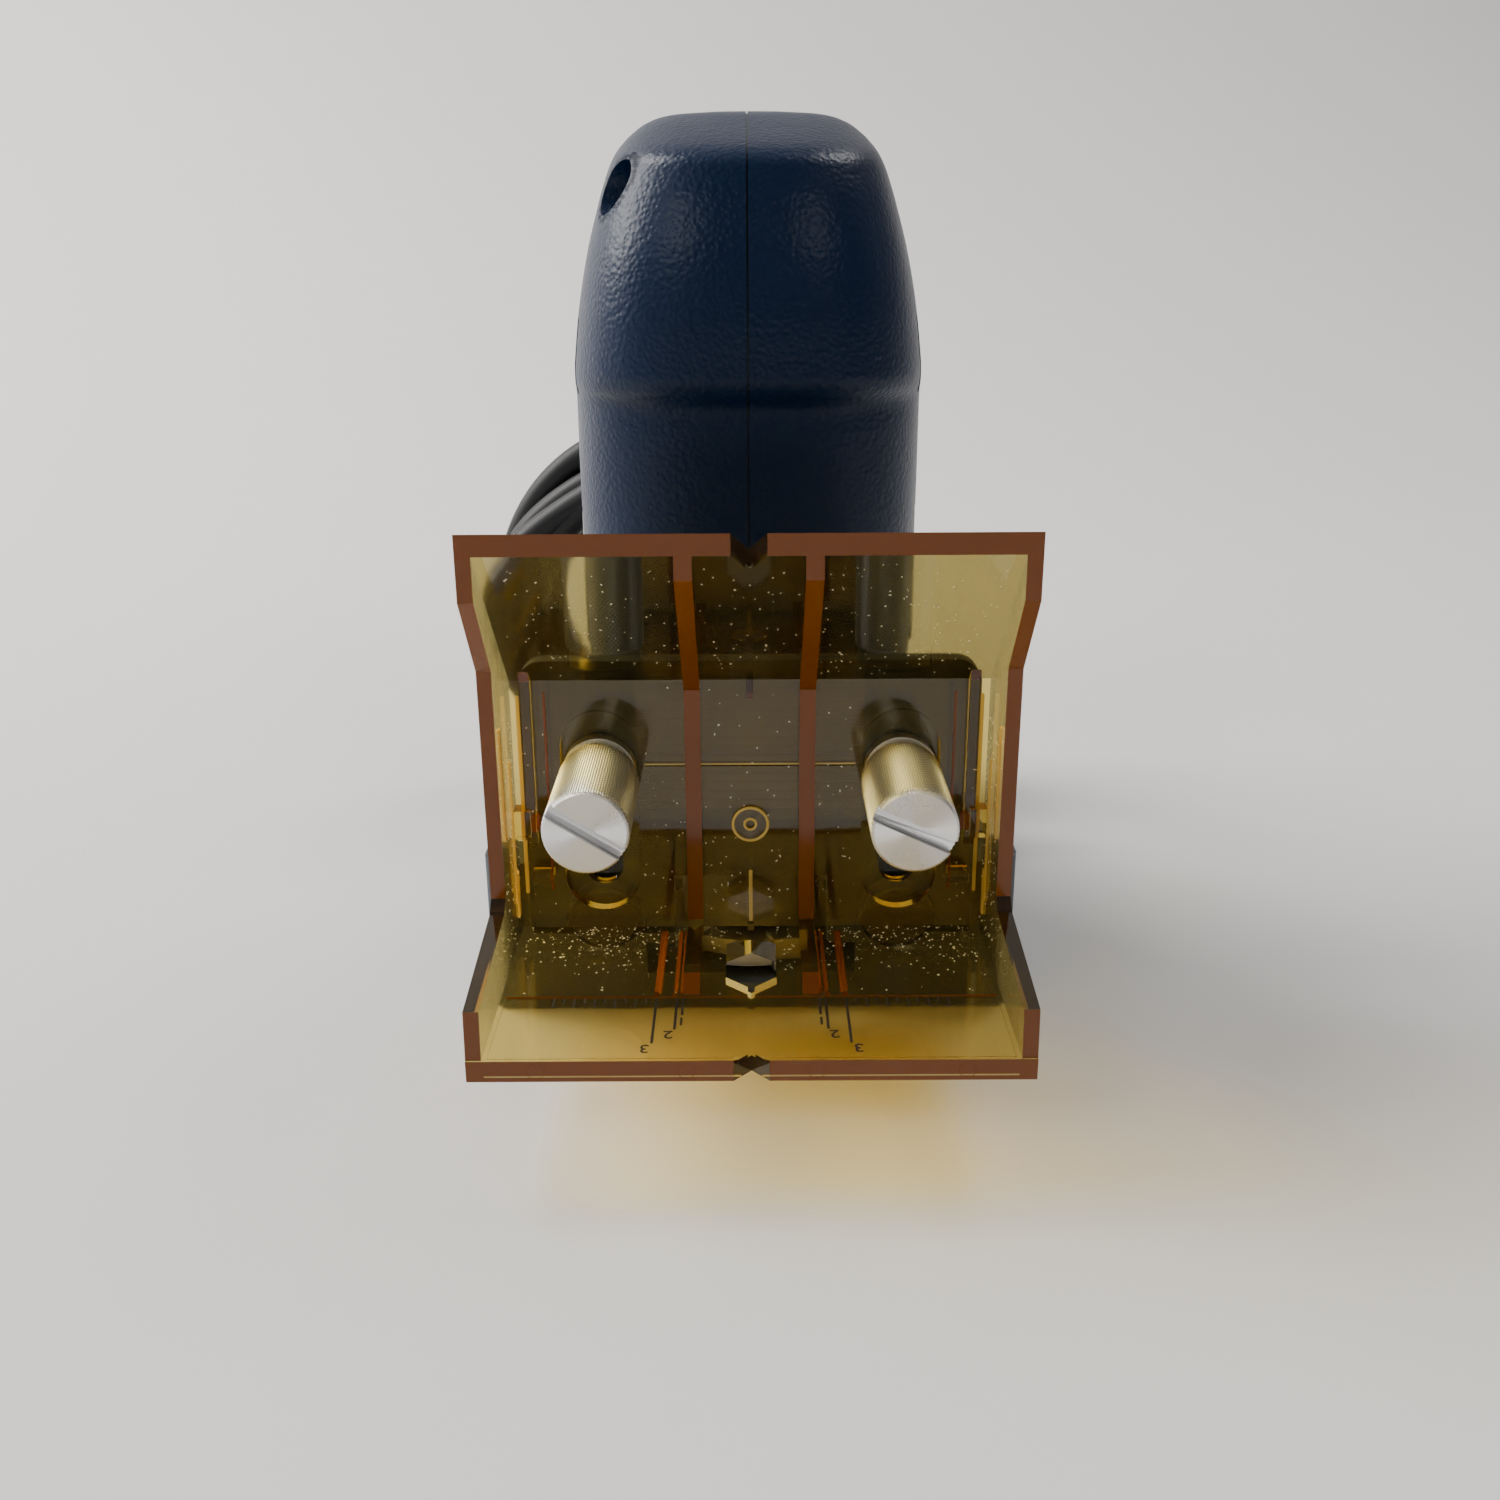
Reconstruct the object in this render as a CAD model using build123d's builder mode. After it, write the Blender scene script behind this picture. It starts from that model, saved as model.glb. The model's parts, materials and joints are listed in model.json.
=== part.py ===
from build123d import *
import os
from math import cos, pi, radians, sin, tan

os.makedirs("parts", exist_ok=True)

# Biscuit joiner. X to the user's right seen from the front, the cutter leaves along -Y, +Z up.
# Origin on the sole, under the cutter's axis at rest. Millimetres.

# --- driving dimensions -------------------------------------------------
fit = 0.05  # shaft in a bore, on the radius
slide_gap = 0.3  # between faces that slide past each other
joint_gap = 0.1  # between pieces bolted to one another

base_half_width = 46.0
base_front = 21.0  # front face, ahead of the cutter's axis
base_rear = 62.0
sole_thick = 4.6
rail_thick = 6.0
rail_top = 16.0
lower_wall_top = 28.2
lower_wall_thick = 10.0
upper_wall_top = 67.2
upper_wall_thick = 3.6
upper_wall_half_width = 38.0
recess_bottom = 14.5
recess_depth = 5.0
rear_wall_thick = 4.0
rear_wall_top = 26.0
pad_half_width = 18.8
pad_bottom = 40.6
pad_pitch = 1.6
pad_proud = 0.25

post_x = 25.3
post_z = 18.4
post_radius = 4.0
cap_radius = 6.75
boss_radius = 7.5
bush_wall = 1.5
boss_front = 12.0
boss_rear = 48.0
bush_length = 8.0
spring_wire = 0.55
spring_turns = 6

cutter_radius = 20.0
cutter_thick = 4.0
cutter_z = 9.7
cutter_hide = 1.0
cutter_teeth = 6
plunge_3 = 6.45  # depth that each biscuit size needs
plunge_2 = 3.65
plunge_1 = 3.0

gear_module = 0.8
spindle_teeth = 24
pinion_teeth = 20
gear_thick = 5.0
gear_z = 19.0
spindle_radius = 2.5
spindle_bearing_radius = 8.0
nose_radius = 12.6
nose_bottom = 12.5
nose_top = 28.0
case_wall = 1.8
case_radius = 19.5
flange_bottom = 37.0
flange_top = 41.0

shaft_radius = 4.0
journal_radius = 3.0
motor_bearing_radius = 9.5
motor_bearing_width = 6.0
motor_bearing_z = 30.0
fan_radius = 20.5
fan_bottom = 44.0
fan_height = 9.0
fan_blades = 9
core_radius = 13.8
core_bottom = 62.0
core_height = 32.0
air_gap = 0.5
stator_radius = 24.0
stator_flat = 21.4  # its front and back are flat, this far from its axis
stator_bottom = 60.0
stator_height = 36.0
coil_overhang = 5.0
commutator_radius = 9.0
commutator_bottom = 102.0
commutator_height = 10.0
upper_bearing_z = 114.0
bracket_thick = 2.5

shell_wall = 2.6
seam = 0.15
shell_top = 152.0
boss_hole = 1.6
shell_boss_radius = 3.6

plate_thick = 4.0
fence_half_width = 41.2
fence_wall = 2.3
flange_reach = 43.6
flange_thick = 3.35
flange_z = 16.65
bevel_reach = 25.6
bevel_thick = 3.2
bevel_corner_z = 64.0
fence_drop = 4.0
fence_lift = 16.0
rib_inner = 8.0
rib_outer = 10.6
rib_proud = 2.5
groove_width = 1.1
groove_depth = 0.5
scale_start = 24.5
scale_pocket = 0.3

knob_x = 24.84
knob_z = 47.0
knob_radius = 6.72
knob_length = 22.6
knob_start = 1.0
slot_width = 12.7
slot_recess = 2.0
stud_radius = 2.5
stud_slot_width = 6.4
washer_half_height = 7.2
washer_thick = 2.5

turret_x = 38.5
turret_z = 26.0
turret_radius = 6.8
turret_disc = 6.0
turret_axle = 1.5
step_radius = 1.9
step_ring = 4.2
stop_tip = 8.0
stop_radius = 2.0

dust_radius = 7.0
dust_length = 14.0
dust_z = 14.0

cord_radius = 3.5
boot_length = 26.0
boot_top = 94.0

# --- places worked out from them ------------------------------------------
spindle_y = 0.0
motor_y = gear_module * (spindle_teeth + pinion_teeth) / 2
plunge_travel = plunge_3 + cutter_hide
plate_rear = -base_front - slide_gap
plate_front = plate_rear - plate_thick
flange_face = flange_z + flange_thick
lower_wall_rear = -base_front + lower_wall_thick
rear_wall_front = base_rear - rear_wall_thick
cutter_bottom = cutter_z - cutter_thick / 2
cutter_top = cutter_z + cutter_thick / 2
pinion_radius = gear_module * pinion_teeth / 2
gear_radius = gear_module * spindle_teeth / 2

written = []


def finish(piece, name):
    """Labels a finished piece and writes its file."""
    piece.part.label = name
    export_step(piece.part, f"parts/{name}.step")
    written.append(name)


def forward(y):
    """A sketch plane that faces the front, at a distance y along Y: its X is +X and its Y is +Z."""
    return Plane(origin=(0, y, 0), x_dir=(1, 0, 0), z_dir=(0, -1, 0))


def mirrored(x, z):
    return [(x, z), (-x, z)]


# --- base -------------------------------------------------------------------
with BuildPart() as base_casting:
    base_mid = (base_rear - base_front) / 2
    base_depth = base_rear + base_front
    with BuildSketch():
        with Locations((0, base_mid)):
            Rectangle(2 * base_half_width, base_depth)
    extrude(amount=sole_thick)
    with BuildSketch(Plane.XY.offset(sole_thick)):
        with Locations((0, base_mid)):
            Rectangle(2 * base_half_width, base_depth)
            Rectangle(2 * (base_half_width - rail_thick), base_depth, mode=Mode.SUBTRACT)
    extrude(amount=rail_top - sole_thick)
    with BuildSketch(Plane.XY.offset(sole_thick)):
        with Locations((0, (lower_wall_rear - base_front) / 2)):
            Rectangle(2 * base_half_width, lower_wall_thick)
    extrude(amount=lower_wall_top + 2.4 - sole_thick)
    with BuildSketch(Plane.XY.offset(sole_thick)):
        with Locations((0, base_rear - rear_wall_thick / 2)):
            Rectangle(2 * base_half_width, rear_wall_thick)
    extrude(amount=rear_wall_top - sole_thick)
    with BuildSketch():
        with Locations((0, base_mid)):
            RectangleRounded(2 * base_half_width, base_depth, 3)
    extrude(amount=upper_wall_top, mode=Mode.INTERSECT)
    with BuildSketch(forward(-base_front)) as upper_face:
        with Locations((0, (upper_wall_top + lower_wall_top) / 2)):
            Rectangle(2 * upper_wall_half_width, upper_wall_top - lower_wall_top)
        fillet(upper_face.vertices().group_by(Axis.Z)[-1], 4)
    extrude(amount=-upper_wall_thick)
    with BuildSketch(forward(-base_front)):
        with Locations((0, (recess_bottom + lower_wall_top) / 2)):
            Rectangle(2 * upper_wall_half_width, lower_wall_top - recess_bottom)
    extrude(amount=-recess_depth, mode=Mode.SUBTRACT)
    with BuildSketch(forward(-base_front)):
        with Locations(mirrored(post_x, post_z)):
            Circle(cap_radius + 0.1)
    extrude(amount=-recess_depth, mode=Mode.SUBTRACT)
    # window for the gear housing's nose, from the recess to the wall's back
    window_half = nose_radius + 0.8
    with BuildSketch(forward(-base_front + recess_depth)):
        with Locations((0, (nose_bottom - 0.8 + lower_wall_top + 0.4) / 2)):
            Rectangle(2 * window_half, lower_wall_top + 0.4 - nose_bottom + 0.8)
    extrude(amount=-lower_wall_thick, mode=Mode.SUBTRACT)
    # under the recess the window is open to the front, where the nose arrives at full plunge
    with BuildSketch(forward(-base_front)):
        with Locations((0, (nose_bottom - 0.8 + recess_bottom) / 2)):
            Rectangle(2 * window_half, recess_bottom - nose_bottom + 0.8)
    extrude(amount=-recess_depth, mode=Mode.SUBTRACT)
    # behind the upper wall the motor housing comes forward, so the lower wall's top is cut back
    with BuildSketch(Plane.XY.offset(lower_wall_top)):
        with Locations((0, lower_wall_rear / 2 - (base_front - upper_wall_thick) / 2)):
            Rectangle(2 * (turret_x - turret_radius - 1), lower_wall_thick - upper_wall_thick)
    extrude(amount=5, mode=Mode.SUBTRACT)
    # cutter slot and the pocket that the cutter sweeps
    with BuildSketch(Plane.XY.offset(cutter_bottom - 0.9)):
        with Locations((0, -base_front + 2)):
            Rectangle(36.6, 6)
        with Locations((0, spindle_y)):
            Circle(cutter_radius + 1)
        with Locations((0, spindle_y - plunge_travel)):
            Circle(cutter_radius + 1)
        with Locations((0, spindle_y - plunge_travel / 2)):
            Rectangle(2 * cutter_radius + 2, plunge_travel)
        with Locations((0, -base_front - cutter_radius)):
            Rectangle(4 * cutter_radius, 2 * cutter_radius, mode=Mode.SUBTRACT)
    extrude(amount=cutter_thick + 1.8, mode=Mode.SUBTRACT)
    # post bores, front and rear
    with BuildSketch(forward(-base_front - 1)):
        with Locations(mirrored(post_x, post_z)):
            Circle(post_radius + 0.02)
    extrude(amount=-(base_depth + 2), mode=Mode.SUBTRACT)
    with BuildSketch(forward(rear_wall_front - 1)):
        with Locations((0, dust_z)):
            Circle(dust_radius)
    extrude(amount=-rear_wall_thick - 2, mode=Mode.SUBTRACT)
    # clamp stud bores
    with BuildSketch(forward(-base_front)):
        with Locations(mirrored(knob_x, knob_z)):
            Circle(stud_radius + fit)
    extrude(amount=-upper_wall_thick, mode=Mode.SUBTRACT)
    # turret axle bore
    with BuildSketch(forward(lower_wall_rear)):
        with Locations((turret_x, turret_z)):
            Circle(turret_axle + fit)
    extrude(amount=6, mode=Mode.SUBTRACT)
finish(base_casting, "base_casting")

with BuildPart() as grip_pad:
    pad_height = upper_wall_top - 0.4 - pad_bottom
    pad_mid = pad_bottom + pad_height / 2
    rib_count = int(pad_height / pad_pitch)
    with BuildSketch(forward(-base_front)):
        with Locations((0, pad_mid)):
            Rectangle(2 * pad_half_width, pad_height)
    extrude(amount=0.1)
    with BuildSketch(forward(-base_front - 0.1)):
        with Locations((0, pad_mid)):
            with GridLocations(1, pad_pitch, 1, rib_count):
                Rectangle(2 * pad_half_width, pad_pitch * 0.55)
    extrude(amount=pad_proud - 0.1)
finish(grip_pad, "grip_pad")

for side, name in ((-1, "left"), (1, "right")):
    with BuildPart() as guide_post:
        with BuildSketch(forward(base_rear)):
            with Locations((side * post_x, post_z)):
                Circle(post_radius)
        extrude(amount=base_rear + base_front - recess_depth)
    finish(guide_post, f"guide_post_{name}")

with BuildPart() as post_caps:
    with BuildSketch(forward(-base_front + recess_depth)):
        with Locations(mirrored(post_x, post_z)):
            Circle(cap_radius)
    extrude(amount=recess_depth - 0.2)
    chamfer(post_caps.edges().filter_by(GeomType.CIRCLE).group_by(Axis.Y)[0], 0.5)
finish(post_caps, "post_caps")

# --- clamp: studs, washers, knobs ---------------------------------------------
knob_back = plate_front - knob_start
knob_front = knob_back - knob_length
recess_floor = plate_front + slot_recess
for side, name in ((-1, "left"), (1, "right")):
    with BuildPart() as clamp_stud:
        with BuildSketch(forward(-base_front + upper_wall_thick)):
            with Locations((side * knob_x, knob_z)):
                Circle(stud_radius)
        extrude(amount=upper_wall_thick - base_front - knob_front - 6)
    finish(clamp_stud, f"clamp_stud_{name}")

    with BuildPart() as clamp_washer:
        with BuildSketch(forward(recess_floor - 0.1)):
            with Locations((side * knob_x, knob_z)):
                SlotOverall(2 * washer_half_height, slot_width - 2 * slide_gap, rotation=90)
                Circle(stud_radius + fit, mode=Mode.SUBTRACT)
        extrude(amount=washer_thick)
    finish(clamp_washer, f"clamp_washer_{name}")

    with BuildPart() as clamp_knob:
        with BuildSketch(forward(knob_back)):
            with Locations((side * knob_x, knob_z)):
                Circle(knob_radius)
        extrude(amount=knob_length)
        chamfer(clamp_knob.edges().filter_by(GeomType.CIRCLE), 0.4)
        with BuildSketch(forward(knob_back)):
            with Locations((side * knob_x, knob_z)):
                Circle(stud_radius + fit)
        extrude(amount=knob_length - 5, mode=Mode.SUBTRACT)
        slot_plane = forward(knob_front)
        with BuildSketch(slot_plane):
            with Locations(Location((side * knob_x, knob_z), -29)):
                Rectangle(2.2 * knob_radius, 1.8)
        extrude(amount=-1.6, mode=Mode.SUBTRACT)
    finish(clamp_knob, f"clamp_knob_{name}")

# --- fence --------------------------------------------------------------------
side_plane = Plane.YZ  # local x is +Y, local y is +Z


def out(reach, z):
    """A point of the fence's profile, from its distance ahead of the plate's front face."""
    return (plate_front - reach, z)


bevel_end_z = bevel_corner_z + bevel_reach
bevel_outer_z = bevel_end_z + bevel_thick
rear_reach = -plate_thick
rear_top_z = bevel_outer_z - bevel_reach + rear_reach
with BuildPart() as fence:
    with BuildSketch(side_plane):
        with BuildLine():
            Polyline(
                out(rear_reach, flange_z), out(flange_reach, flange_z), out(flange_reach, flange_face),
                out(0, flange_face), out(0, bevel_corner_z), out(bevel_reach, bevel_end_z),
                out(bevel_reach, bevel_outer_z), out(rear_reach, rear_top_z), close=True,
            )
        make_face()
    extrude(amount=fence_half_width, both=True)
    for side in (-1, 1):
        with BuildSketch(side_plane.offset(side * (fence_half_width - fence_wall))):
            with BuildLine():
                Polyline(
                    out(rear_reach, flange_z), out(flange_reach, flange_z),
                    out(flange_reach - 0.9, flange_z + 10.9), out(17.5, 30.7), out(15.3, 32.5),
                    out(15.3, 70), out(bevel_reach, 83), out(bevel_reach, bevel_outer_z),
                    out(rear_reach, rear_top_z), close=True,
                )
            make_face()
        extrude(amount=side * fence_wall)
    # ribs round the inside of the channel
    for side in (-1, 1):
        with BuildSketch(side_plane.offset(side * rib_inner)):
            with BuildLine():
                bend = rib_proud * tan(radians(22.5))
                Polyline(
                    out(24, flange_face), out(24 - rib_proud, flange_face + rib_proud),
                    out(rib_proud, flange_face + rib_proud), out(rib_proud, bevel_corner_z - bend),
                    out(bevel_reach, bevel_end_z - rib_proud * 1.414), out(bevel_reach, bevel_end_z),
                    out(0, bevel_corner_z), out(0, flange_face), close=True,
                )
            make_face()
        extrude(amount=side * (rib_outer - rib_inner))
        # raised guide lines from the cutter's chord to the scale
        for line_x in (11.9, 14.7):
            with BuildSketch(Plane.XY.offset(flange_face)):
                with Locations((side * line_x, plate_front - scale_start / 2 - 2)):
                    Rectangle(0.7, scale_start - 4)
            extrude(amount=0.6)
        # rail and hooks beside the side wall
        with BuildSketch(forward(plate_front)):
            with Locations((side * 36.2, 51)):
                Rectangle(1.6, 30)
        extrude(amount=2.4)
        with BuildSketch(forward(plate_front)):
            with Locations((side * 37.6, 40)):
                Rectangle(2.8, 5)
            with Locations((side * 34.6, 30.5)):
                Rectangle(3.4, 2)
        extrude(amount=3.2)
    # scale pocket with a thin lip round it
    with BuildSketch(Plane.XY.offset(flange_face)):
        with Locations((0, plate_front - (scale_start + flange_reach - 0.8) / 2)):
            Rectangle(2 * (fence_half_width - fence_wall - 0.7), flange_reach - 0.8 - scale_start)
    extrude(amount=-scale_pocket, mode=Mode.SUBTRACT)
    # gate mark on the plate
    with BuildSketch(forward(plate_front)):
        with Locations((0, 39)):
            Circle(2.95)
            Circle(0.9, mode=Mode.SUBTRACT)
    extrude(amount=0.5)
    # centre and level grooves
    with BuildSketch(forward(plate_front)):
        with Locations((0, 49.5)):
            Rectangle(2 * 17.3, 0.75)
        with Locations((0, 24)):
            Rectangle(groove_width, 7)
    extrude(amount=-groove_depth, mode=Mode.SUBTRACT)
    with BuildSketch(Plane.XY.offset(flange_face)):
        with Locations((0, plate_front - flange_reach / 2)):
            Rectangle(groove_width, flange_reach)
    extrude(amount=-groove_depth - scale_pocket, mode=Mode.SUBTRACT)
    bevel_plane = Plane(origin=(0, plate_front, bevel_corner_z), x_dir=(1, 0, 0), z_dir=(0, -1, -1))
    with BuildSketch(bevel_plane):
        with Locations((0, 1.414 * bevel_reach / 2), (0, -1.414 * bevel_reach / 2)):
            Rectangle(groove_width, 1.414 * bevel_reach)
    extrude(amount=-groove_depth, mode=Mode.SUBTRACT)
    # sight window
    with BuildSketch(Plane.XY.offset(flange_z)):
        with BuildLine():
            Polyline(
                (0, plate_front - 3.5), (4.05, plate_front - 6.8), (4.05, plate_front - 18.4),
                (0, plate_front - 22.2), (-4.05, plate_front - 18.4), (-4.05, plate_front - 6.8), close=True,
            )
        make_face()
    extrude(amount=flange_thick, mode=Mode.SUBTRACT)
    # centre notches in both front edges
    for reach, low in ((flange_reach, flange_z), (bevel_reach, bevel_end_z - 4)):
        with BuildSketch(Plane.XY.offset(low - 0.5)):
            with BuildLine():
                Polyline(
                    (-2.6, plate_front - reach - 0.01), (0, plate_front - reach + 2.8),
                    (2.6, plate_front - reach - 0.01), close=True,
                )
            make_face()
        extrude(amount=9, mode=Mode.SUBTRACT)
    # clamp slots: a recess for the washer, and a narrower slot for the stud
    slot_mid = knob_z + (fence_drop - fence_lift) / 2
    slot_travel = fence_drop + fence_lift
    for side in (-1, 1):
        for width, extra, start, depth in (
            (slot_width, 2 * washer_half_height - slot_width + 0.9, plate_front, slot_recess),
            (stud_slot_width, 1, plate_front + slot_recess, plate_thick),
        ):
            with BuildSketch(forward(start)):
                with Locations((side * knob_x, slot_mid)):
                    SlotOverall(slot_travel + extra + width, width, rotation=90)
            extrude(amount=-depth, mode=Mode.SUBTRACT)
finish(fence, "fence")

# --- depth stop -----------------------------------------------------------------
turret_back = lower_wall_rear + 0.2
stop_faces = [
    stop_tip - plunge_travel - 0.05, stop_tip - plunge_2 - cutter_hide, stop_tip - plunge_1 - cutter_hide,
]
with BuildPart() as depth_turret:
    with BuildSketch(forward(turret_back)):
        with Locations((turret_x, turret_z)):
            Circle(turret_radius)
            with PolarLocations(turret_radius + 0.5, 18):
                Circle(0.8, mode=Mode.SUBTRACT)
    extrude(amount=-turret_disc)
    for index, face_y in enumerate(stop_faces):
        angle = radians(90 + 120 * index)
        with BuildSketch(forward(turret_back + turret_disc)):
            with Locations((turret_x + step_ring * cos(angle), turret_z + step_ring * sin(angle))):
                Circle(step_radius)
        extrude(amount=-(face_y - turret_back - turret_disc))
    with BuildSketch(forward(turret_back - 1)):
        with Locations((turret_x, turret_z)):
            Circle(turret_axle + fit)
    extrude(amount=-30, mode=Mode.SUBTRACT)
finish(depth_turret, "depth_turret")

with BuildPart() as turret_screw:
    with BuildSketch(forward(lower_wall_rear - 5.5)):
        with Locations((turret_x, turret_z)):
            Circle(turret_axle)
    extrude(amount=-(5.5 + 0.2 + turret_disc + 0.2))
    with BuildSketch(forward(turret_back + turret_disc + 0.2)):
        with Locations((turret_x, turret_z)):
            Circle(2.0)
    extrude(amount=-1.4)
finish(turret_screw, "turret_screw")

# --- gear housing ------------------------------------------------------------------
lug_front = 14.0
lug_rear = 22.0
stop_z = turret_z + step_ring
bearing_seat = spindle_bearing_radius + 0.02
spindle_bearing_z = nose_bottom + 1.0
with BuildPart() as gear_housing:
    with BuildSketch(Plane.XY.offset(nose_bottom)):
        with Locations((0, spindle_y)):
            Circle(nose_radius)
        with Locations((0, (spindle_y + motor_y) / 2)):
            Rectangle(2 * nose_radius, motor_y - spindle_y)
        with Locations((0, motor_y)):
            Circle(nose_radius)
    extrude(amount=nose_top - nose_bottom)
    with BuildSketch(Plane.XY.offset(nose_top)):
        with Locations((0, motor_y + 3)):
            Circle(case_radius - 3)
    extrude(amount=flange_bottom - nose_top)
    with BuildSketch(Plane.XY.offset(flange_bottom)):
        with Locations((0, 24.5)):
            RectangleRounded(56, 62, 12)
    extrude(amount=flange_top - flange_bottom)
    # cross web and bosses that ride on the posts
    with BuildSketch(Plane.XY.offset(nose_bottom)):
        with Locations((0, (boss_front + boss_rear) / 2)):
            Rectangle(2 * post_x, boss_rear - boss_front)
    extrude(amount=12)
    with BuildSketch(forward(boss_rear)):
        with Locations(mirrored(post_x, post_z)):
            Circle(boss_radius)
    extrude(amount=boss_rear - boss_front)
    # lug for the stop screw
    with BuildSketch(forward(lug_rear)):
        with Locations(((post_x + turret_x + 5) / 2, stop_z - 3)):
            Rectangle(turret_x + 5 - post_x, 14)
    extrude(amount=lug_rear - lug_front)
    # gear chamber, bearing seats and shaft passages
    with BuildSketch(Plane.XY.offset(gear_z - 0.6)):
        with Locations((0, spindle_y)):
            Circle(nose_radius - case_wall)
        with Locations((0, (spindle_y + motor_y) / 2)):
            Rectangle(16, motor_y)
        with Locations((0, motor_y)):
            Circle(pinion_radius + gear_module + 0.8)
    extrude(amount=gear_thick + 1.2, mode=Mode.SUBTRACT)
    with BuildSketch(Plane.XY.offset(spindle_bearing_z)):
        with Locations((0, spindle_y)):
            Circle(bearing_seat)
    extrude(amount=nose_top - 1.2 - spindle_bearing_z, mode=Mode.SUBTRACT)
    with BuildSketch(Plane.XY.offset(nose_bottom)):
        with Locations((0, spindle_y)):
            Circle(spindle_radius + 1)
    extrude(amount=2, mode=Mode.SUBTRACT)
    with BuildSketch(Plane.XY.offset(motor_bearing_z)):
        with Locations((0, motor_y)):
            Circle(motor_bearing_radius + 0.02)
    extrude(amount=flange_top - motor_bearing_z, mode=Mode.SUBTRACT)
    with BuildSketch(Plane.XY.offset(gear_z - 2)):
        with Locations((0, motor_y)):
            Circle(journal_radius + 1)
    extrude(amount=motor_bearing_z - gear_z + 2, mode=Mode.SUBTRACT)
    with BuildSketch(forward(boss_rear + 1)):
        with Locations(mirrored(post_x, post_z)):
            Circle(post_radius + bush_wall + 0.02)
    extrude(amount=boss_rear - boss_front + 2, mode=Mode.SUBTRACT)
    with BuildSketch(forward(lug_rear + 1)):
        with Locations((turret_x, stop_z)):
            Circle(stop_radius + fit)
    extrude(amount=lug_rear - lug_front + 2, mode=Mode.SUBTRACT)
    # motor screw holes through the flange
    motor_screw_places = [(22.5, 2.5), (-22.5, 2.5), (22.5, 46.5), (-22.5, 46.5)]
    with BuildSketch(Plane.XY.offset(flange_bottom)):
        with Locations(*motor_screw_places):
            Circle(boss_hole + 0.2)
    extrude(amount=flange_top - flange_bottom, mode=Mode.SUBTRACT)
finish(gear_housing, "gear_housing")

for side, name in ((-1, "left"), (1, "right")):
    with BuildPart() as guide_bushes:
        for start in (boss_front + bush_length, boss_rear):
            with BuildSketch(forward(start)):
                with Locations((side * post_x, post_z)):
                    Circle(post_radius + bush_wall)
                    Circle(post_radius + fit, mode=Mode.SUBTRACT)
            extrude(amount=bush_length)
    finish(guide_bushes, f"guide_bushes_{name}")

    with BuildPart() as return_spring:
        spring_radius = post_radius + 0.45 + spring_wire
        spring_length = boss_front - lower_wall_rear - 2 * spring_wire - 0.4
        with BuildLine():
            coil_path = Helix(
                pitch=spring_length / spring_turns, height=spring_length, radius=spring_radius,
                center=(side * post_x, lower_wall_rear + spring_wire + 0.2, post_z), direction=(0, 1, 0),
            )
        with BuildSketch(Plane(origin=coil_path @ 0, z_dir=coil_path % 0)):
            Circle(spring_wire)
        sweep(path=coil_path, is_frenet=True)
    finish(return_spring, f"return_spring_{name}")

with BuildPart() as stop_screw:
    with BuildSketch(forward(lug_rear + 6)):
        with Locations((turret_x, stop_z)):
            Circle(stop_radius)
    extrude(amount=lug_rear + 6 - stop_tip)
    with BuildSketch(forward(lug_rear + 9)):
        with Locations((turret_x, stop_z)):
            Circle(3.5)
    extrude(amount=3)
finish(stop_screw, "stop_screw")

with BuildPart() as stop_nut:
    with BuildSketch(forward(lug_rear + 3.2)):
        with Locations((turret_x, stop_z)):
            RegularPolygon(3.5, 6, major_radius=False)
            Circle(stop_radius + fit, mode=Mode.SUBTRACT)
    extrude(amount=3.2)
finish(stop_nut, "stop_nut")


# --- cutter, spindle and gears -------------------------------------------------------
def gear_outline(teeth, bore, phase, tooth_share=0.46):
    """A spur gear's face: trapezoid teeth on the module, with backlash."""
    root = gear_module * (teeth / 2 - 1.25)
    tip = gear_module * (teeth / 2 + 0.95)
    pitch = 2 * pi / teeth
    with BuildSketch() as outline:
        Circle(root)
        for tooth in range(teeth):
            mid = phase + tooth * pitch
            wide, narrow = pitch * 0.72 * tooth_share, pitch * 0.26 * tooth_share
            foot = root - 0.3
            Polygon(
                (foot * cos(mid - wide), foot * sin(mid - wide)), (tip * cos(mid - narrow), tip * sin(mid - narrow)),
                (tip * cos(mid + narrow), tip * sin(mid + narrow)), (foot * cos(mid + wide), foot * sin(mid + wide)),
                align=None,
            )
        Circle(bore, mode=Mode.SUBTRACT)
    return outline.sketch


with BuildPart() as spindle_gear:
    with BuildSketch(Plane.XY.offset(gear_z)):
        add(gear_outline(spindle_teeth, spindle_radius + 0.01, pi / 2))
    extrude(amount=gear_thick)
finish(spindle_gear, "spindle_gear")

with BuildPart() as motor_pinion:
    with BuildSketch(Plane(origin=(0, motor_y, gear_z), z_dir=(0, 0, 1), x_dir=(1, 0, 0))):
        add(gear_outline(pinion_teeth, journal_radius + 0.01, -pi / 2 + pi / pinion_teeth))
    extrude(amount=gear_thick)
finish(motor_pinion, "motor_pinion")

with BuildPart() as spindle:
    with BuildSketch(Plane.XY.offset(cutter_bottom - 0.2)):
        Circle(spindle_radius)
    extrude(amount=nose_top - 1.4 - cutter_bottom + 0.2)
finish(spindle, "spindle")

for name, low, width in (
    ("spindle_lower_bearing", spindle_bearing_z, 4.8),
    ("spindle_upper_bearing", gear_z + gear_thick + 0.2, 2.4),
):
    with BuildPart() as spindle_bearing:
        with BuildSketch(Plane.XY.offset(low)):
            Circle(spindle_bearing_radius)
            Circle(spindle_radius + fit, mode=Mode.SUBTRACT)
        extrude(amount=width)
    finish(spindle_bearing, name)

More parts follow.
